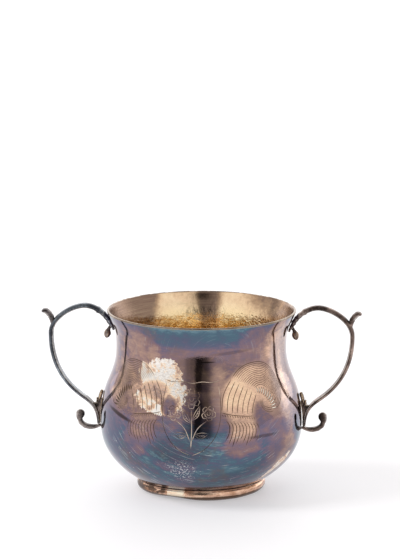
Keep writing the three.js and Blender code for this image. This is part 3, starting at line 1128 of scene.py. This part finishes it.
def unevenness(angle, height):
    """How far the hand-raised wall stands out of true, in millimetres."""
    x, y = math.sin(angle), -math.cos(angle)
    swell = noise.noise(Vector((x * 1.7, y * 1.7, height / 24))) * 0.32
    ripple = noise.noise(Vector((x * 6 + 7, y * 6, height / 9))) * 0.07
    dents = 0
    for across, up, size, deep in DENTS:
        away = (angle - across / BELLY_RADIUS + math.pi) % (2 * math.pi) - math.pi
        reach = (away * BELLY_RADIUS / size) ** 2 + ((height - up) / size) ** 2
        dents += deep * math.exp(-reach)
    return (swell + ripple) * smooth(height, 5, 16) - dents


def outside_point(angle, share):
    """A point of the uneven outside, at an angle round from the front and a share of the bowl's line."""
    radius, height = OUTSIDE.at(share)
    radius += unevenness(angle, height)
    return Vector((radius * math.sin(angle), -radius * math.cos(angle), height))


def outside_normal(angle, share):
    near = 2e-3
    low, high = max(0, share - near), min(1, share + near)
    across = outside_point(angle + near, share) - outside_point(angle - near, share)
    up = outside_point(angle, high) - outside_point(angle, low)
    return across.cross(up).normalized()


def inner_wall(share):
    """The inside of the wall: thicker at the lip, and a little at the neck."""
    height = OUTSIDE.at(share).y
    thickness = mix(WALL, LIP_THICKNESS, smooth(height, RIM_HEIGHT - LIP_DEPTH, RIM_HEIGHT))
    at_neck = math.exp(-((height - NECK_HEIGHT) / NECK_THICK_REACH) ** 2)
    return OUTSIDE.away(share, -thickness - NECK_THICKENING * at_neck)


LIP_START = share_at_height(RIM_HEIGHT - LIP_ROUND * math.cos(RIM_LEAN))
WALL_SHARES = [i / ROWS * LIP_START for i in range(ROWS + 1)]
TABLE = np.linspace(0, 1, 2001)
TABLE_HEIGHTS = np.array([OUTSIDE.at(share).y for share in TABLE])

# What a point of the bowl belongs to, where it isn't on the outside and has no share of its line
LIP, INSIDE, UNDERSIDE = -1, -2, -3


def share_of_height(height):
    """The same as share_at_height, read from a table, for many points."""
    return float(np.interp(height, TABLE_HEIGHTS, TABLE))


def bowl_outline():
    """The bowl's section from the middle of its underside to the middle of its floor: place and part."""
    last = WALL_SHARES[-1]
    start, way = OUTSIDE.at(last), OUTSIDE.along(last)
    inward = Vector((-way.y, way.x)) * LIP_THICKNESS
    points = [(Vector((BASE_RADIUS * i / 4, BASE_HEIGHT)), UNDERSIDE) for i in range(4)]
    points += [(OUTSIDE.at(share), share) for share in WALL_SHARES]
    for i in range(1, 6):
        angle = math.pi * i / 6
        points.append((start + inward * (1 - math.cos(angle)) / 2 + way * LIP_ROUND * math.sin(angle), LIP))
    points += [(inner_wall(share), INSIDE) for share in reversed(WALL_SHARES)]
    edge = points[-1][0]
    points += [(Vector((edge.x * i / 4, edge.y)), INSIDE) for i in (3, 2, 1, 0)]
    return points


def engraved_sheet(cuts, shares):
    """The engraved front laid flat: its points, in millimetres round and up, and its faces.

    The points of the spun wall are kept on its edge and wherever no stroke runs close by."""
    first, last = PATCH_COLUMNS
    border, middle = [], []
    for number in range(first, last + 1):
        for share in shares:
            spot = (number * COLUMN_ANGLE * BELLY_RADIUS, OUTSIDE.at(share).y)
            edge = number in (first, last) or share in (shares[0], shares[-1])
            (border if edge else middle).append(spot)
    distances, _ = cuts.measure(np.array(middle))
    middle = [spot for spot, distance in zip(middle, distances) if distance > CLEAR_OF_STROKES]
    points = cuts.points + [Vector(spot) for spot in border + middle]
    flat, _, faces, *_ = geometry.delaunay_2d_cdt(points, cuts.edges, [], 0, 1e-5)
    return np.array([tuple(point) for point in flat]), faces


def remove_front(bm, part, low, high):
    """Take out the part of the spun wall that the engraved sheet fills."""
    near = 1e-3
    first, last = PATCH_COLUMNS

    def on_patch(vertex):
        number = math.atan2(vertex.co.x, -vertex.co.y) / COLUMN_ANGLE
        in_columns = first - near < number < last + near
        return vertex[part] >= 0 and in_columns and low - near < vertex.co.z < high + near

    faces = [face for face in bm.faces if all(on_patch(vertex) for vertex in face.verts)]
    bmesh.ops.delete(bm, geom=faces, context="FACES")


def engraved_patch(bm, part, cut, plume_layer, in_cut):
    """Swap the front of the spun wall for a sheet with the same edge and the engraving cut into it."""
    lowest, highest = PATCH_HEIGHTS
    shares = [share for share in WALL_SHARES if lowest < OUTSIDE.at(share).y < highest]
    remove_front(bm, part, OUTSIDE.at(shares[0]).y, OUTSIDE.at(shares[-1]).y)
    cuts = Cuts(engraving())
    flat, faces = engraved_sheet(cuts, shares)
    _, depths = cuts.measure(flat)
    _, face_depths = cuts.measure(np.array([flat[list(face)].mean(0) for face in faces]))
    vertices = []
    for (across, height), depth, worn in zip(flat, depths, inside_plumes(flat)):
        share = share_of_height(height)
        radius = OUTSIDE.at(share).x
        angle = across / BELLY_RADIUS
        vertex = bm.verts.new((radius * math.sin(angle), -radius * math.cos(angle), height))
        vertex[part] = share
        vertex[cut] = depth
        vertex[plume_layer] = worn
        vertices.append(vertex)
    for face, depth in zip(faces, face_depths):
        made = bm.faces.new([vertices[i] for i in face])
        made[in_cut] = int(depth > 0)


def raise_wall(bm, part, cut):
    """Give the true wall its hand-raised unevenness and its cuts; returns the outside's own directions."""
    facings = {}
    for vertex in bm.verts:
        x, y, z = vertex.co
        angle, radius = math.atan2(x, -y), math.hypot(x, y)
        if vertex[part] >= 0:
            facing = outside_normal(angle, vertex[part])
            vertex.co = outside_point(angle, vertex[part]) - facing * vertex[cut] * CUT_DEPTH
            facings[vertex.index] = facing
        elif radius > 1:
            out = radius + unevenness(angle, z)
            vertex.co = (out * math.sin(angle), -out * math.cos(angle), z)
    return facings


def bowl_normals(bm, facings, in_cut):
    """The outside's own directions, so that its narrow faces don't show, while a cut's faces stay flat."""
    normals = []
    for face in bm.faces:
        own = face.material_index == 0 and all(vertex.index in facings for vertex in face.verts)
        for vertex in face.verts:
            if not own:
                normals.append((0, 0, 0))
            elif face[in_cut]:
                normals.append(tuple(face.normal))
            else:
                normals.append(tuple(facings[vertex.index]))
    return normals


def bowl(finishes):
    bm = bmesh.new()
    part = bm.verts.layers.float.new("part")
    cut = bm.verts.layers.float.new("cut")
    plume_layer = bm.verts.layers.float.new("plume")
    in_cut = bm.faces.layers.int.new("in_cut")
    outline = []
    for (radius, height), belongs in bowl_outline():
        vertex = bm.verts.new((0, -radius, height))
        vertex[part] = belongs
        outline.append(vertex)
    edges = [bm.edges.new(pair) for pair in zip(outline, outline[1:])]
    spin_round(bm, outline + edges, COLUMNS)
    engraved_patch(bm, part, cut, plume_layer, in_cut)
    close_seams(bm)
    bm.verts.index_update()
    facings = raise_wall(bm, part, cut)
    for face in bm.faces:
        belongs = {vertex[part] for vertex in face.verts}
        face.material_index = 1 if LIP in belongs else 2 if INSIDE in belongs else 0
    bm.normal_update()
    normals = bowl_normals(bm, facings, in_cut)
    bm.faces.layers.int.remove(in_cut)
    piece = finish_piece("bowl_raised", bm, finishes, ["bowl"])
    piece.data.normals_split_custom_set(normals)


# Foot ring


def foot_outline(seat):
    """The foot ring's section, all the way round: radius and height."""
    inner_top = under_bowl(FOOT_INNER_RADIUS)
    flat = FOOT_FLAT_RADIUS
    bulge = FOOT_BODY_RADIUS
    body = Line([(flat + 0.4, 0.2), (flat + 1.5, 0.5), (bulge, 1.4), (bulge, 3.1)],
                [(bulge, 3.1), (bulge, 4.3), (bulge - 0.3, 5), (bulge - 0.6, 5.2)])
    inner = FOOT_INNER_RADIUS
    points = [(inner, inner_top.y), (inner, 0.3), (inner + 0.3, 0), (flat, 0)]
    points += [tuple(body.at(share)) for share in even_shares(19)]
    points += [(bulge - 0.65, 5.4), (bulge - 0.4, 5.5), (bulge - 0.25, seat.y - 0.3), (seat.x + 0.2, seat.y)]
    rings = 5
    for i in range(1, rings):
        points.append(tuple(under_bowl(mix(FOOT_SEAT_RADIUS, FOOT_INNER_RADIUS, i / rings))))
    return points


def foot_ring(finish):
    """The moulding under the bowl: a round body, a groove and a thin bead, bent up left of its front."""
    bm = bmesh.new()
    seat = under_bowl(FOOT_SEAT_RADIUS)
    vertices = [bm.verts.new((0, -radius, height)) for radius, height in foot_outline(seat)]
    edges = [bm.edges.new(pair) for pair in zip(vertices, vertices[1:] + vertices[:1])]
    spin_round(bm, vertices + edges, FOOT_COLUMNS)
    close_seams(bm)
    for vertex in bm.verts:
        x, y, z = vertex.co
        radius = math.hypot(x, y)
        dent = noise.noise(Vector((x / 11, y / 11, 3))) * 0.5
        dent += noise.noise(Vector((x / 3.5, y / 3.5, 8))) * 0.12
        free = smooth(radius, FOOT_INNER_RADIUS + 0.5, FOOT_FLAT_RADIUS + 1) * smooth(z, seat.y, seat.y - 1.5)
        vertex.co.xy *= (radius + dent * free) / radius
        across = math.atan2(x, -y) * FOOT_BODY_RADIUS
        bent = FOOT_BENT_UP * math.exp(-((across - FOOT_BEND_PLACE) / 13) ** 2) * smooth(z, 4.5, 0.5)
        vertex.co.z += dent * free * smooth(z, 0.2, 2) * 0.7 + bent
    finish_piece("foot_ring_moulded", bm, [finish], ["foot_ring"])


# Handles, drawn for the +X side; every piece is made again for the other side, turned half round

ARM_END_HEIGHT = BELLY_HEIGHT - SCROLL_DROP + SCROLL_START_THICKNESS / 2


def arm_stretch():
    """The lower arm, from the knee of the loop down to its end by the belly."""
    knee = Vector((BELLY_RADIUS + KNEE_REACH, BELLY_HEIGHT + KNEE_RISE))
    end = near_bowl(ARM_END_HEIGHT, ARM_END_GAP)
    length = (knee - end).length
    slope = Vector((math.cos(KNEE_SLOPE), math.sin(KNEE_SLOPE)))
    return [knee, knee - slope * 0.38 * length, end + Vector((0.4, 0.5 * length)), end]


def strap_line():
    """The strap's middle: up the bowl's flare, over the arch, down the loop and back along the arm."""
    seat_height = RIM_HEIGHT - SEAT_DROP
    end_height = seat_height - TAIL_DROP
    seat = near_bowl(seat_height, SOLDER_GAP + STRAP_THICKNESS / 2)
    seat_way = OUTSIDE.along(share_at_height(seat_height))
    end = near_bowl(end_height, SOLDER_GAP + TAIL_THICKNESS / 2)
    end_way = OUTSIDE.along(share_at_height(end_height))
    arch = Vector((RIM_RADIUS + ARCH_REACH, RIM_HEIGHT + ARCH_RISE))
    side = Vector((RIM_RADIUS + LOOP_REACH, RIM_HEIGHT - LOOP_DROP))
    after_arch = Vector((mix(arch.x, side.x, 0.36), arch.y))
    before_side = Vector((side.x, mix(side.y, arch.y, 0.57)))
    arm = arm_stretch()
    arm_way = (arm[1] - arm[0]).normalized()
    drop = (arm[0] - side).length
    return Line(
        [end, end + end_way * 0.33 * TAIL_DROP, seat - seat_way * 0.33 * TAIL_DROP, seat],
        [seat, seat + seat_way * 0.35 * ARCH_REACH, arch - Vector((0.48 * ARCH_REACH, 0)), arch],
        [arch, after_arch, before_side, side],
        [side, side - Vector((0, 0.23 * drop)), arm[0] - arm_way * 0.5 * drop, arm[0]],
        arm,
    )


STRAP = strap_line()
SEAT_SHARE, ARCH_SHARE, SIDE_SHARE, KNEE_SHARE = STRAP.ends[:4]
RIM_SHARE = STRAP.where(0, ARCH_SHARE, lambda p: p.y >= RIM_HEIGHT - 0.5)

# Half of the strap's section, from the middle of its outside to the middle of its inside, as shares of half
# its thickness and half its width: a rounded bar, a groove, and a thin flange with a hollow back
STRAP_SECTION = [
    (-1, 0), (-0.95, 0.42), (-0.72, 0.8), (-0.25, 0.98), (0.15, 1), (0.36, 0.95), (0.42, 0.82), (0.56, 0.82),
    (0.64, 0.92), (0.9, 0.92), (0.98, 0.76), (0.8, 0.4), (0.72, 0),
]
# Corners of the section on the flange's edge, which take a painted highlight
HIGHLIT_FLANGE_EDGE = (8, 9)


def strap_size(share):
    """The strap's thickness and width at a share of its length."""
    swell = min(1, share / SEAT_SHARE)
    full = mix(STRAP_THICKNESS, ARM_THICKNESS, smooth(share, 0.5, KNEE_SHARE))
    full = mix(full, ARM_END_THICKNESS, smooth(share, KNEE_SHARE, 1))
    return mix(TAIL_THICKNESS, full, swell), mix(TAIL_WIDTH, STRAP_WIDTH, swell)


def bent_bar(line, steps, section, sides=20):
    """A straight rod of many slices, each moved onto a line.

    section gives, for a share of the length and an angle, how far a corner lies from the line in the plane of
    the handle and across it, and how much it is rubbed; on the strap's flange that share is a painted
    highlight."""
    bm = bmesh.new()
    rub_and_highlight_layer = bm.verts.layers.float.new("rub")
    bmesh.ops.create_circle(bm, cap_ends=False, segments=sides, radius=1)
    rod = bm.verts[:] + bm.edges[:]
    bmesh.ops.spin(bm, geom=rod, cent=(0, 0, 0), axis=(0, 0, 1), dvec=(0, 0, 1 / steps), angle=0, steps=steps)
    for vertex in bm.verts:
        x, y, share = vertex.co
        share = min(1, max(0, share))
        deep, wide, vertex[rub_and_highlight_layer] = section(share, math.atan2(y, x))
        place = line.away(share, deep)
        vertex.co = (place.x, wide, place.y)
    bmesh.ops.holes_fill(bm, edges=[edge for edge in bm.edges if edge.is_boundary], sides=0)
    close_seams(bm)
    return bm


def squared(angle, square):
    """A unit outline between a circle, at 2, and a square."""
    c, s = math.cos(angle), math.sin(angle)
    size = (abs(c) ** square + abs(s) ** square) ** (-1 / square)
    return c * size, s * size


def round_end(share, line, length, blunt=0.12):
    """The size of a bar towards its end, 1 and then rounded down to blunt over the last length."""
    left = min(1, (1 - share) * line.length / length)
    return mix(blunt, 1, math.sqrt(left * (2 - left)))


def strap():
    """The strap: a rounded bar on a thin flange, and a ribbed leaf where it leaves the bowl; the flange's
    edge takes a painted highlight.
    """
    corners = len(STRAP_SECTION) - 1

    def section(share, angle):
        thickness, width = strap_size(share)
        number = round((1 - abs(angle) / math.pi) * corners)
        deep, wide = STRAP_SECTION[number]
        wide = math.copysign(wide, angle)
        leaf_part = 1 - smooth(share, RIM_SHARE * 0.9, RIM_SHARE)
        knuckle = math.exp(-((share - RIM_SHARE) / 0.0065) ** 2)
        ribs = 0.09 * math.sin(share / RIM_SHARE * 11 * math.pi) * leaf_part
        lobes = 1 + 0.18 * leaf_part * abs(math.sin(share / RIM_SHARE * 2.5 * math.pi))
        deep = deep * thickness / 2 * (1 + 0.25 * knuckle) + (ribs if deep > 0 else -ribs)
        end = round_end(1 - share, STRAP, 1.4, 0.3) * round_end(share, STRAP, 1.2, 0.5)
        # the flange's edge takes a painted highlight; the leaf's ribs are rubbed
        rub = 0.65 if number in HIGHLIT_FLANGE_EDGE else 0.15 * leaf_part * (ribs > 0)
        return deep * end, wide * width / 2 * lobes * (1 + 0.14 * knuckle) * end, rub

    return bent_bar(STRAP, 240, section, 2 * corners)


def thumb_piece():
    """The leaf that stands on the shoulder of the strap and curls outwards."""
    place = STRAP.where(ARCH_SHARE, SIDE_SHARE, lambda p: p.y <= RIM_HEIGHT - THUMB_DROP)
    root = STRAP.at(place)
    knot = root + Vector((1.1, 4.6))
    line = Line(
        [root, root + Vector((0.3, 1.7)), root + Vector((0.3, 3.2)), knot],
        [knot, knot + Vector((1.4, 2.5)), knot + Vector((3.4, 3.7)), knot + Vector((4.3, 2.1))],
    )

    def section(share, angle):
        deep, wide = squared(angle, 2.3)
        thickness = mix(THUMB_ROOT_THICKNESS, THUMB_THICKNESS, smooth(share, 0, 0.45))
        thickness = mix(thickness, THUMB_END_THICKNESS, smooth(share, 0.7, 1))
        waist = 1 - 0.1 * math.exp(-((share - 0.5) / 0.06) ** 2)
        width = mix(THUMB_ROOT_WIDTH, THUMB_WIDTH, smooth(share, 0.3, 0.8)) * waist
        end = round_end(share, line, 1.3, 0.12)
        fold = 0.3 * math.exp(-(wide / 0.22) ** 2) * (-1 if deep < 0 else 0.3)
        ribs = 0.08 * math.sin(share * 34) * smooth(share, 0.3, 0.5)
        bowed = 0.3 * wide * wide
        rub = smooth(deep, 0.2, 0.8) * smooth(share, 0.35, 0.6) * 0.8
        return (deep * (thickness / 2 + ribs) - fold - bowed) * end, wide * width / 2 * end, rub

    return bent_bar(line, 80, section, 32)


def upper_bud():
    """A lobed bud on a thin neck, inside the strap's upper end."""
    place = STRAP.where(0, ARCH_SHARE, lambda p: p.y >= RIM_HEIGHT - BUD_DROP)
    root = STRAP.away(place, strap_size(place)[0] / 2 - 0.3)
    line = Line([root, root + Vector((0.9, -1.4)), root + Vector((1.8, -2.8)), root + Vector((2.2, -6.7))])

    def section(share, angle):
        past_neck = share * line.length - BUD_NECK
        on_bud = min(1, max(0, past_neck / (line.length - BUD_NECK)))
        swell = BUD_RADIUS * math.sin(math.pi * on_bud ** 0.85) ** 0.5
        collar = 0.25 * math.exp(-(past_neck / 0.3) ** 2)
        lobe = math.cos(BUD_LOBES * angle)
        lobes = 1 + 0.07 * lobe * smooth(on_bud, 0.1, 0.6)
        size = max(swell * lobes, mix(0.8, 0.3, on_bud)) + collar
        rub = 0.5 * (lobe > 0.6) * smooth(on_bud, 0.05, 0.2)
        return size * math.cos(angle), size * math.sin(angle), rub

    return bent_bar(line, 64, section, 30)


def bracket_outline():
    """The bracket seen from the side: down the arm, round to the belly, and back along the belly."""
    arm = Line(arm_stretch())
    points = []
    for share in even_shares(15):
        along = mix(1, WEB_START, share)
        half = mix(ARM_THICKNESS, ARM_END_THICKNESS, smooth(along, 0, 1)) / 2
        points.append(arm.away(along, half - 0.15))
    root = points[-1]
    touch_height = BELLY_HEIGHT + TOUCH_RISE
    touch = near_bowl(touch_height, 0.05)
    after_root = Vector((mix(root.x, touch.x, 0.6), root.y))
    before_top = Vector((touch.x + 1.5, mix(touch_height, root.y, 0.5)))
    rise = Line([root, after_root, before_top, Vector((touch.x + 1.4, touch_height + 2.4))])
    points += [rise.at(share) for share in even_shares(9)[1:]]
    points.append(Vector((touch.x + 0.2, touch_height + 2.6)))
    for share in even_shares(12):
        height = mix(touch_height + 1, ARM_END_HEIGHT + 0.6, share)
        slit = SLIT * smooth(height, 44.5, 42)
        points.append(near_bowl(height, 0.05 + slit))
    return points


def bracket():
    """The flat bracket between the arm and the belly, with a sunk web on both sides and rubbed edges."""
    bm = bmesh.new()
    face = bm.faces.new([bm.verts.new((p.x, -BRACKET_WIDTH / 2, p.y)) for p in bracket_outline()])
    made = bmesh.ops.extrude_face_region(bm, geom=[face])["geom"]
    far = [item for item in made if isinstance(item, bmesh.types.BMVert)]
    bmesh.ops.translate(bm, verts=far, vec=(0, BRACKET_WIDTH, 0))
    bmesh.ops.recalc_face_normals(bm, faces=bm.faces)
    sides = [item for item in bm.faces if abs(item.normal.y) > 0.9]
    bmesh.ops.inset_individual(bm, faces=sides, thickness=0.24, depth=-0.02)
    bmesh.ops.inset_individual(bm, faces=sides, thickness=0.16, depth=-WEB_SINK)
    rims = [edge for edge in bm.edges if edge.calc_face_angle(0) > 1.0]
    bmesh.ops.bevel(bm, geom=rims, offset=0.08, offset_type="OFFSET", affect="EDGES", segments=2, profile=0.5,
                    material=-1)
    rub_and_highlight_layer = bm.verts.layers.float.new("rub")
    for vertex in bm.verts:
        vertex[rub_and_highlight_layer] = smooth(abs(vertex.co.y), BRACKET_WIDTH / 2 - 0.3, BRACKET_WIDTH / 2 - 0.1)
    return bm


def bracket_leaf():
    """The leaf at the bracket's top, whose blunt tip leans on the belly."""
    low, high = BELLY_HEIGHT + TOUCH_RISE - 3, BELLY_HEIGHT + TOUCH_RISE + LEAF_RISE
    places = ((0, 1.9), (0.35, 1.9), (0.6, 1.5), (1, 1.1))
    line = Line([near_bowl(mix(low, high, share), away) for share, away in places])

    def section(share, angle):
        deep, wide = squared(angle, 2.4)
        end = round_end(share, line, 1.6, 0.15) * round_end(1 - share, line, 2.5, 0.1)
        thickness = mix(LEAF_ROOT_THICKNESS, LEAF_THICKNESS, smooth(share, 0.3, 0.7))
        fold = 0.3 * math.exp(-(wide / 0.25) ** 2) * (1 if deep > 0 else 0)
        rub = smooth(abs(wide), 0.6, 0.9) * smooth(share, 0.3, 0.6)
        return (deep * thickness / 2 - fold) * end, wide * LEAF_WIDTH / 2 * end, rub

    return bent_bar(line, 40, section, 24)


def bracket_curl():
    """A small tip beside the leaf, which curls away from the belly."""
    root = near_bowl(BELLY_HEIGHT + TOUCH_RISE - 0.6, 2.7)
    line = Line([root, root + Vector((-0.2, 0.8)), root + Vector((-0.5, 1.5)), root + Vector((0.1, 2.3))])

    def section(share, angle):
        deep, wide = squared(angle, 2.2)
        end = round_end(share, line, 0.7, 0.15)
        return deep * CURL_THICKNESS / 2 * end, wide * CURL_WIDTH / 2 * end, smooth(abs(wide), 0.6, 0.9)

    return bent_bar(line, 24, section, 20)


def tail_scroll():
    """The tail under the arm: a stout sweep that rolls up into a ball, ribbed outside and hollowed inside."""
    start = near_bowl(BELLY_HEIGHT - SCROLL_DROP, 0.1)
    turn = start + Vector((SCROLL_REACH, SCROLL_RISE))
    line = Line(
        [start, start + Vector((4.4, -2.3)), turn + Vector((0.1, -4.7)), turn],
        [turn, turn + Vector((0, 1.3)), turn + Vector((-0.2, 2.6)), turn + Vector((-0.9, 4.3))],
    )

    def section(share, angle):
        deep, wide = squared(angle, 2.5)
        thickness = mix(SCROLL_START_THICKNESS, SCROLL_THICKNESS, smooth(share, 0, 0.35))
        thickness = mix(thickness, SCROLL_END_THICKNESS, smooth(share, 0.68, 0.84))
        if deep > 0:
            carved = 0.1 * math.sin(share * 44) * smooth(share, 0.35, 0.5) * smooth(share, 0.97, 0.9)
        else:
            carved = 0.45 * (1 - wide * wide) * smooth(share, 0.05, 0.3) * smooth(share, 0.85, 0.7)
        rounded = round_end(share, line, SCROLL_END_THICKNESS / 2, 0.08)
        rub = smooth(deep, 0.45, 0.85) * 0.35
        return (deep * thickness / 2 + carved) * rounded, wide * SCROLL_WIDTH / 2 * rounded, rub

    return bent_bar(line, 110, section, 28)


def handles(strap_finish, dark_finish, scroll_finish):
    kinds = (
        ("handle_loop", "strap", strap, "handle_silver", strap_finish),
        ("thumb_piece", "thumb_leaf", thumb_piece, "handle_silver", scroll_finish),
        ("upper_bud", "bud", upper_bud, "dark_silver", dark_finish),
        ("lower_bracket", "bracket_web", bracket, "dark_silver", dark_finish),
        (None, "bracket_leaf", bracket_leaf, "dark_silver", dark_finish),
        (None, "bracket_curl", bracket_curl, "dark_silver", dark_finish),
        ("tail_scroll", "tail", tail_scroll, "handle_silver", scroll_finish),
    )
    for side, turned in (("right", False), ("left", True)):
        for node, name, make, slot, finish in kinds:
            nodes = [f"{side}_{node}"] if node else []
            finish_piece(f"{side}_{name}", make(), [finish], nodes, turned)


# Floor, light and camera


def floor():
    """The pale floor; the front of it, like a table's edge, isn't mirrored in the silver."""
    finish = Finish("pale_floor")
    finish.set(Base_Color=FLOOR_COLOUR, Roughness=0.6, Emission_Color=FLOOR_GLOW, Emission_Strength=0.4)
    for name, low, high in (("floor", FLOOR_FRONT, FLOOR_REACH), ("floor_front", -FLOOR_REACH, FLOOR_FRONT)):
        bm = bmesh.new()
        bmesh.ops.create_grid(bm, x_segments=1, y_segments=1, size=1)
        bmesh.ops.scale(bm, verts=bm.verts, vec=(FLOOR_REACH, (high - low) / 2, 1))
        bmesh.ops.translate(bm, verts=bm.verts, vec=(0, (high + low) / 2, 0))
        mesh = bpy.data.meshes.new(name)
        bm.to_mesh(mesh)
        bm.free()
        mesh.materials.append(finish.material)
        sheet = bpy.data.objects.new(name, mesh)
        sheet.visible_glossy = name == "floor"
        bpy.context.collection.objects.link(sheet)


def studio_light():
    """A bright tent: a soft box on each side of the camera, a dark gap between them, and a bright back."""
    world = bpy.data.worlds.new("studio")
    world.use_nodes = True
    bpy.context.scene.world = world
    light = Finish("studio", world.node_tree)
    way = light.node("ShaderNodeTexCoord", output="Generated")
    x, y, z = light.parts(way)
    degrees = 180 / math.pi
    turn = light.angle_round(x, y) * degrees
    rise = z.sum("ARCSINE", z) * degrees
    left = turn.between(-112, -98, -24, -14) * rise.step(50, 40)
    right = turn.between(9, 18, 106, 128) * rise.step(46, 38)
    core = turn.between(-7, -4.5, 3, 5.5) * 0.92
    left_edge = turn.between(-13, -9, 0, 3) * 0.3
    right_edge = turn.between(-4, 0, 4, 26) * 0.76
    gap = core.most(left_edge, right_edge) * rise.step(42, 26)
    back = y.step(0.25, 0.6) * rise.step(65, 40)
    strength = (0.5 + left * 0.46 + right * 0.42 + back * 1.2) * (1 - gap)
    background = world.node_tree.nodes["Background"]
    light.feed(background.inputs["Color"], STUDIO_WHITE)
    light.feed(background.inputs["Strength"], strength)


def key_light():
    """A soft key from the upper left, which lays the shadow to the right."""
    data = bpy.data.lights.new("key", "SUN")
    data.energy = KEY_STRENGTH
    data.angle = KEY_SIZE
    lamp = bpy.data.objects.new("key", data)
    lamp.rotation_euler = Vector(KEY_FROM).to_track_quat("Z", "Y").to_euler()
    lamp.visible_glossy = False
    bpy.context.collection.objects.link(lamp)


def camera():
    """The photograph's view: 11 degrees down, from 1.7 metres away, a little to the right of the front."""
    data = bpy.data.cameras.new("camera")
    data.lens = CAMERA_LENS
    data.sensor_width = CAMERA_SENSOR
    data.clip_start = 0.1
    data.clip_end = 50
    view = bpy.data.objects.new("camera", data)
    level = math.cos(CAMERA_PITCH)
    back = Vector((math.sin(CAMERA_YAW) * level, -math.cos(CAMERA_YAW) * level, math.sin(CAMERA_PITCH)))
    view.location = Vector(CAMERA_AIM) + back * CAMERA_DISTANCE
    view.rotation_euler = back.to_track_quat("Z", "Y").to_euler()
    bpy.context.collection.objects.link(view)
    bpy.context.scene.camera = view


def main():
    camera()
    floor()
    studio_light()
    key_light()
    bowl([tarnished_outside(), worn_lip(), gilt_inside()])
    foot_ring(coppery_foot())
    strap_finish = handle_tarnish("handle_tarnish", ((CREVICE, 3.2), (BUD_ROOT, 2.5)), RUBBED_AND_HIGHLIT_SILVER)
    dark_finish = handle_tarnish("dark_tarnish", ((BRACKET_MIDDLE, 3.6), (BUD_ROOT, 2)), RUBBED_GOLD, 0.8)
    scroll_corners = ((SCROLL_EYE, 6), (SCROLL_ROOT, 3.4), (CREVICE, 3))
    scroll_finish = handle_tarnish("scroll_tarnish", scroll_corners, RUBBED_AND_HIGHLIT_SILVER, 0.6)
    handles(strap_finish, dark_finish, scroll_finish)
    bpy.context.scene.view_settings.view_transform = "Standard"


main()
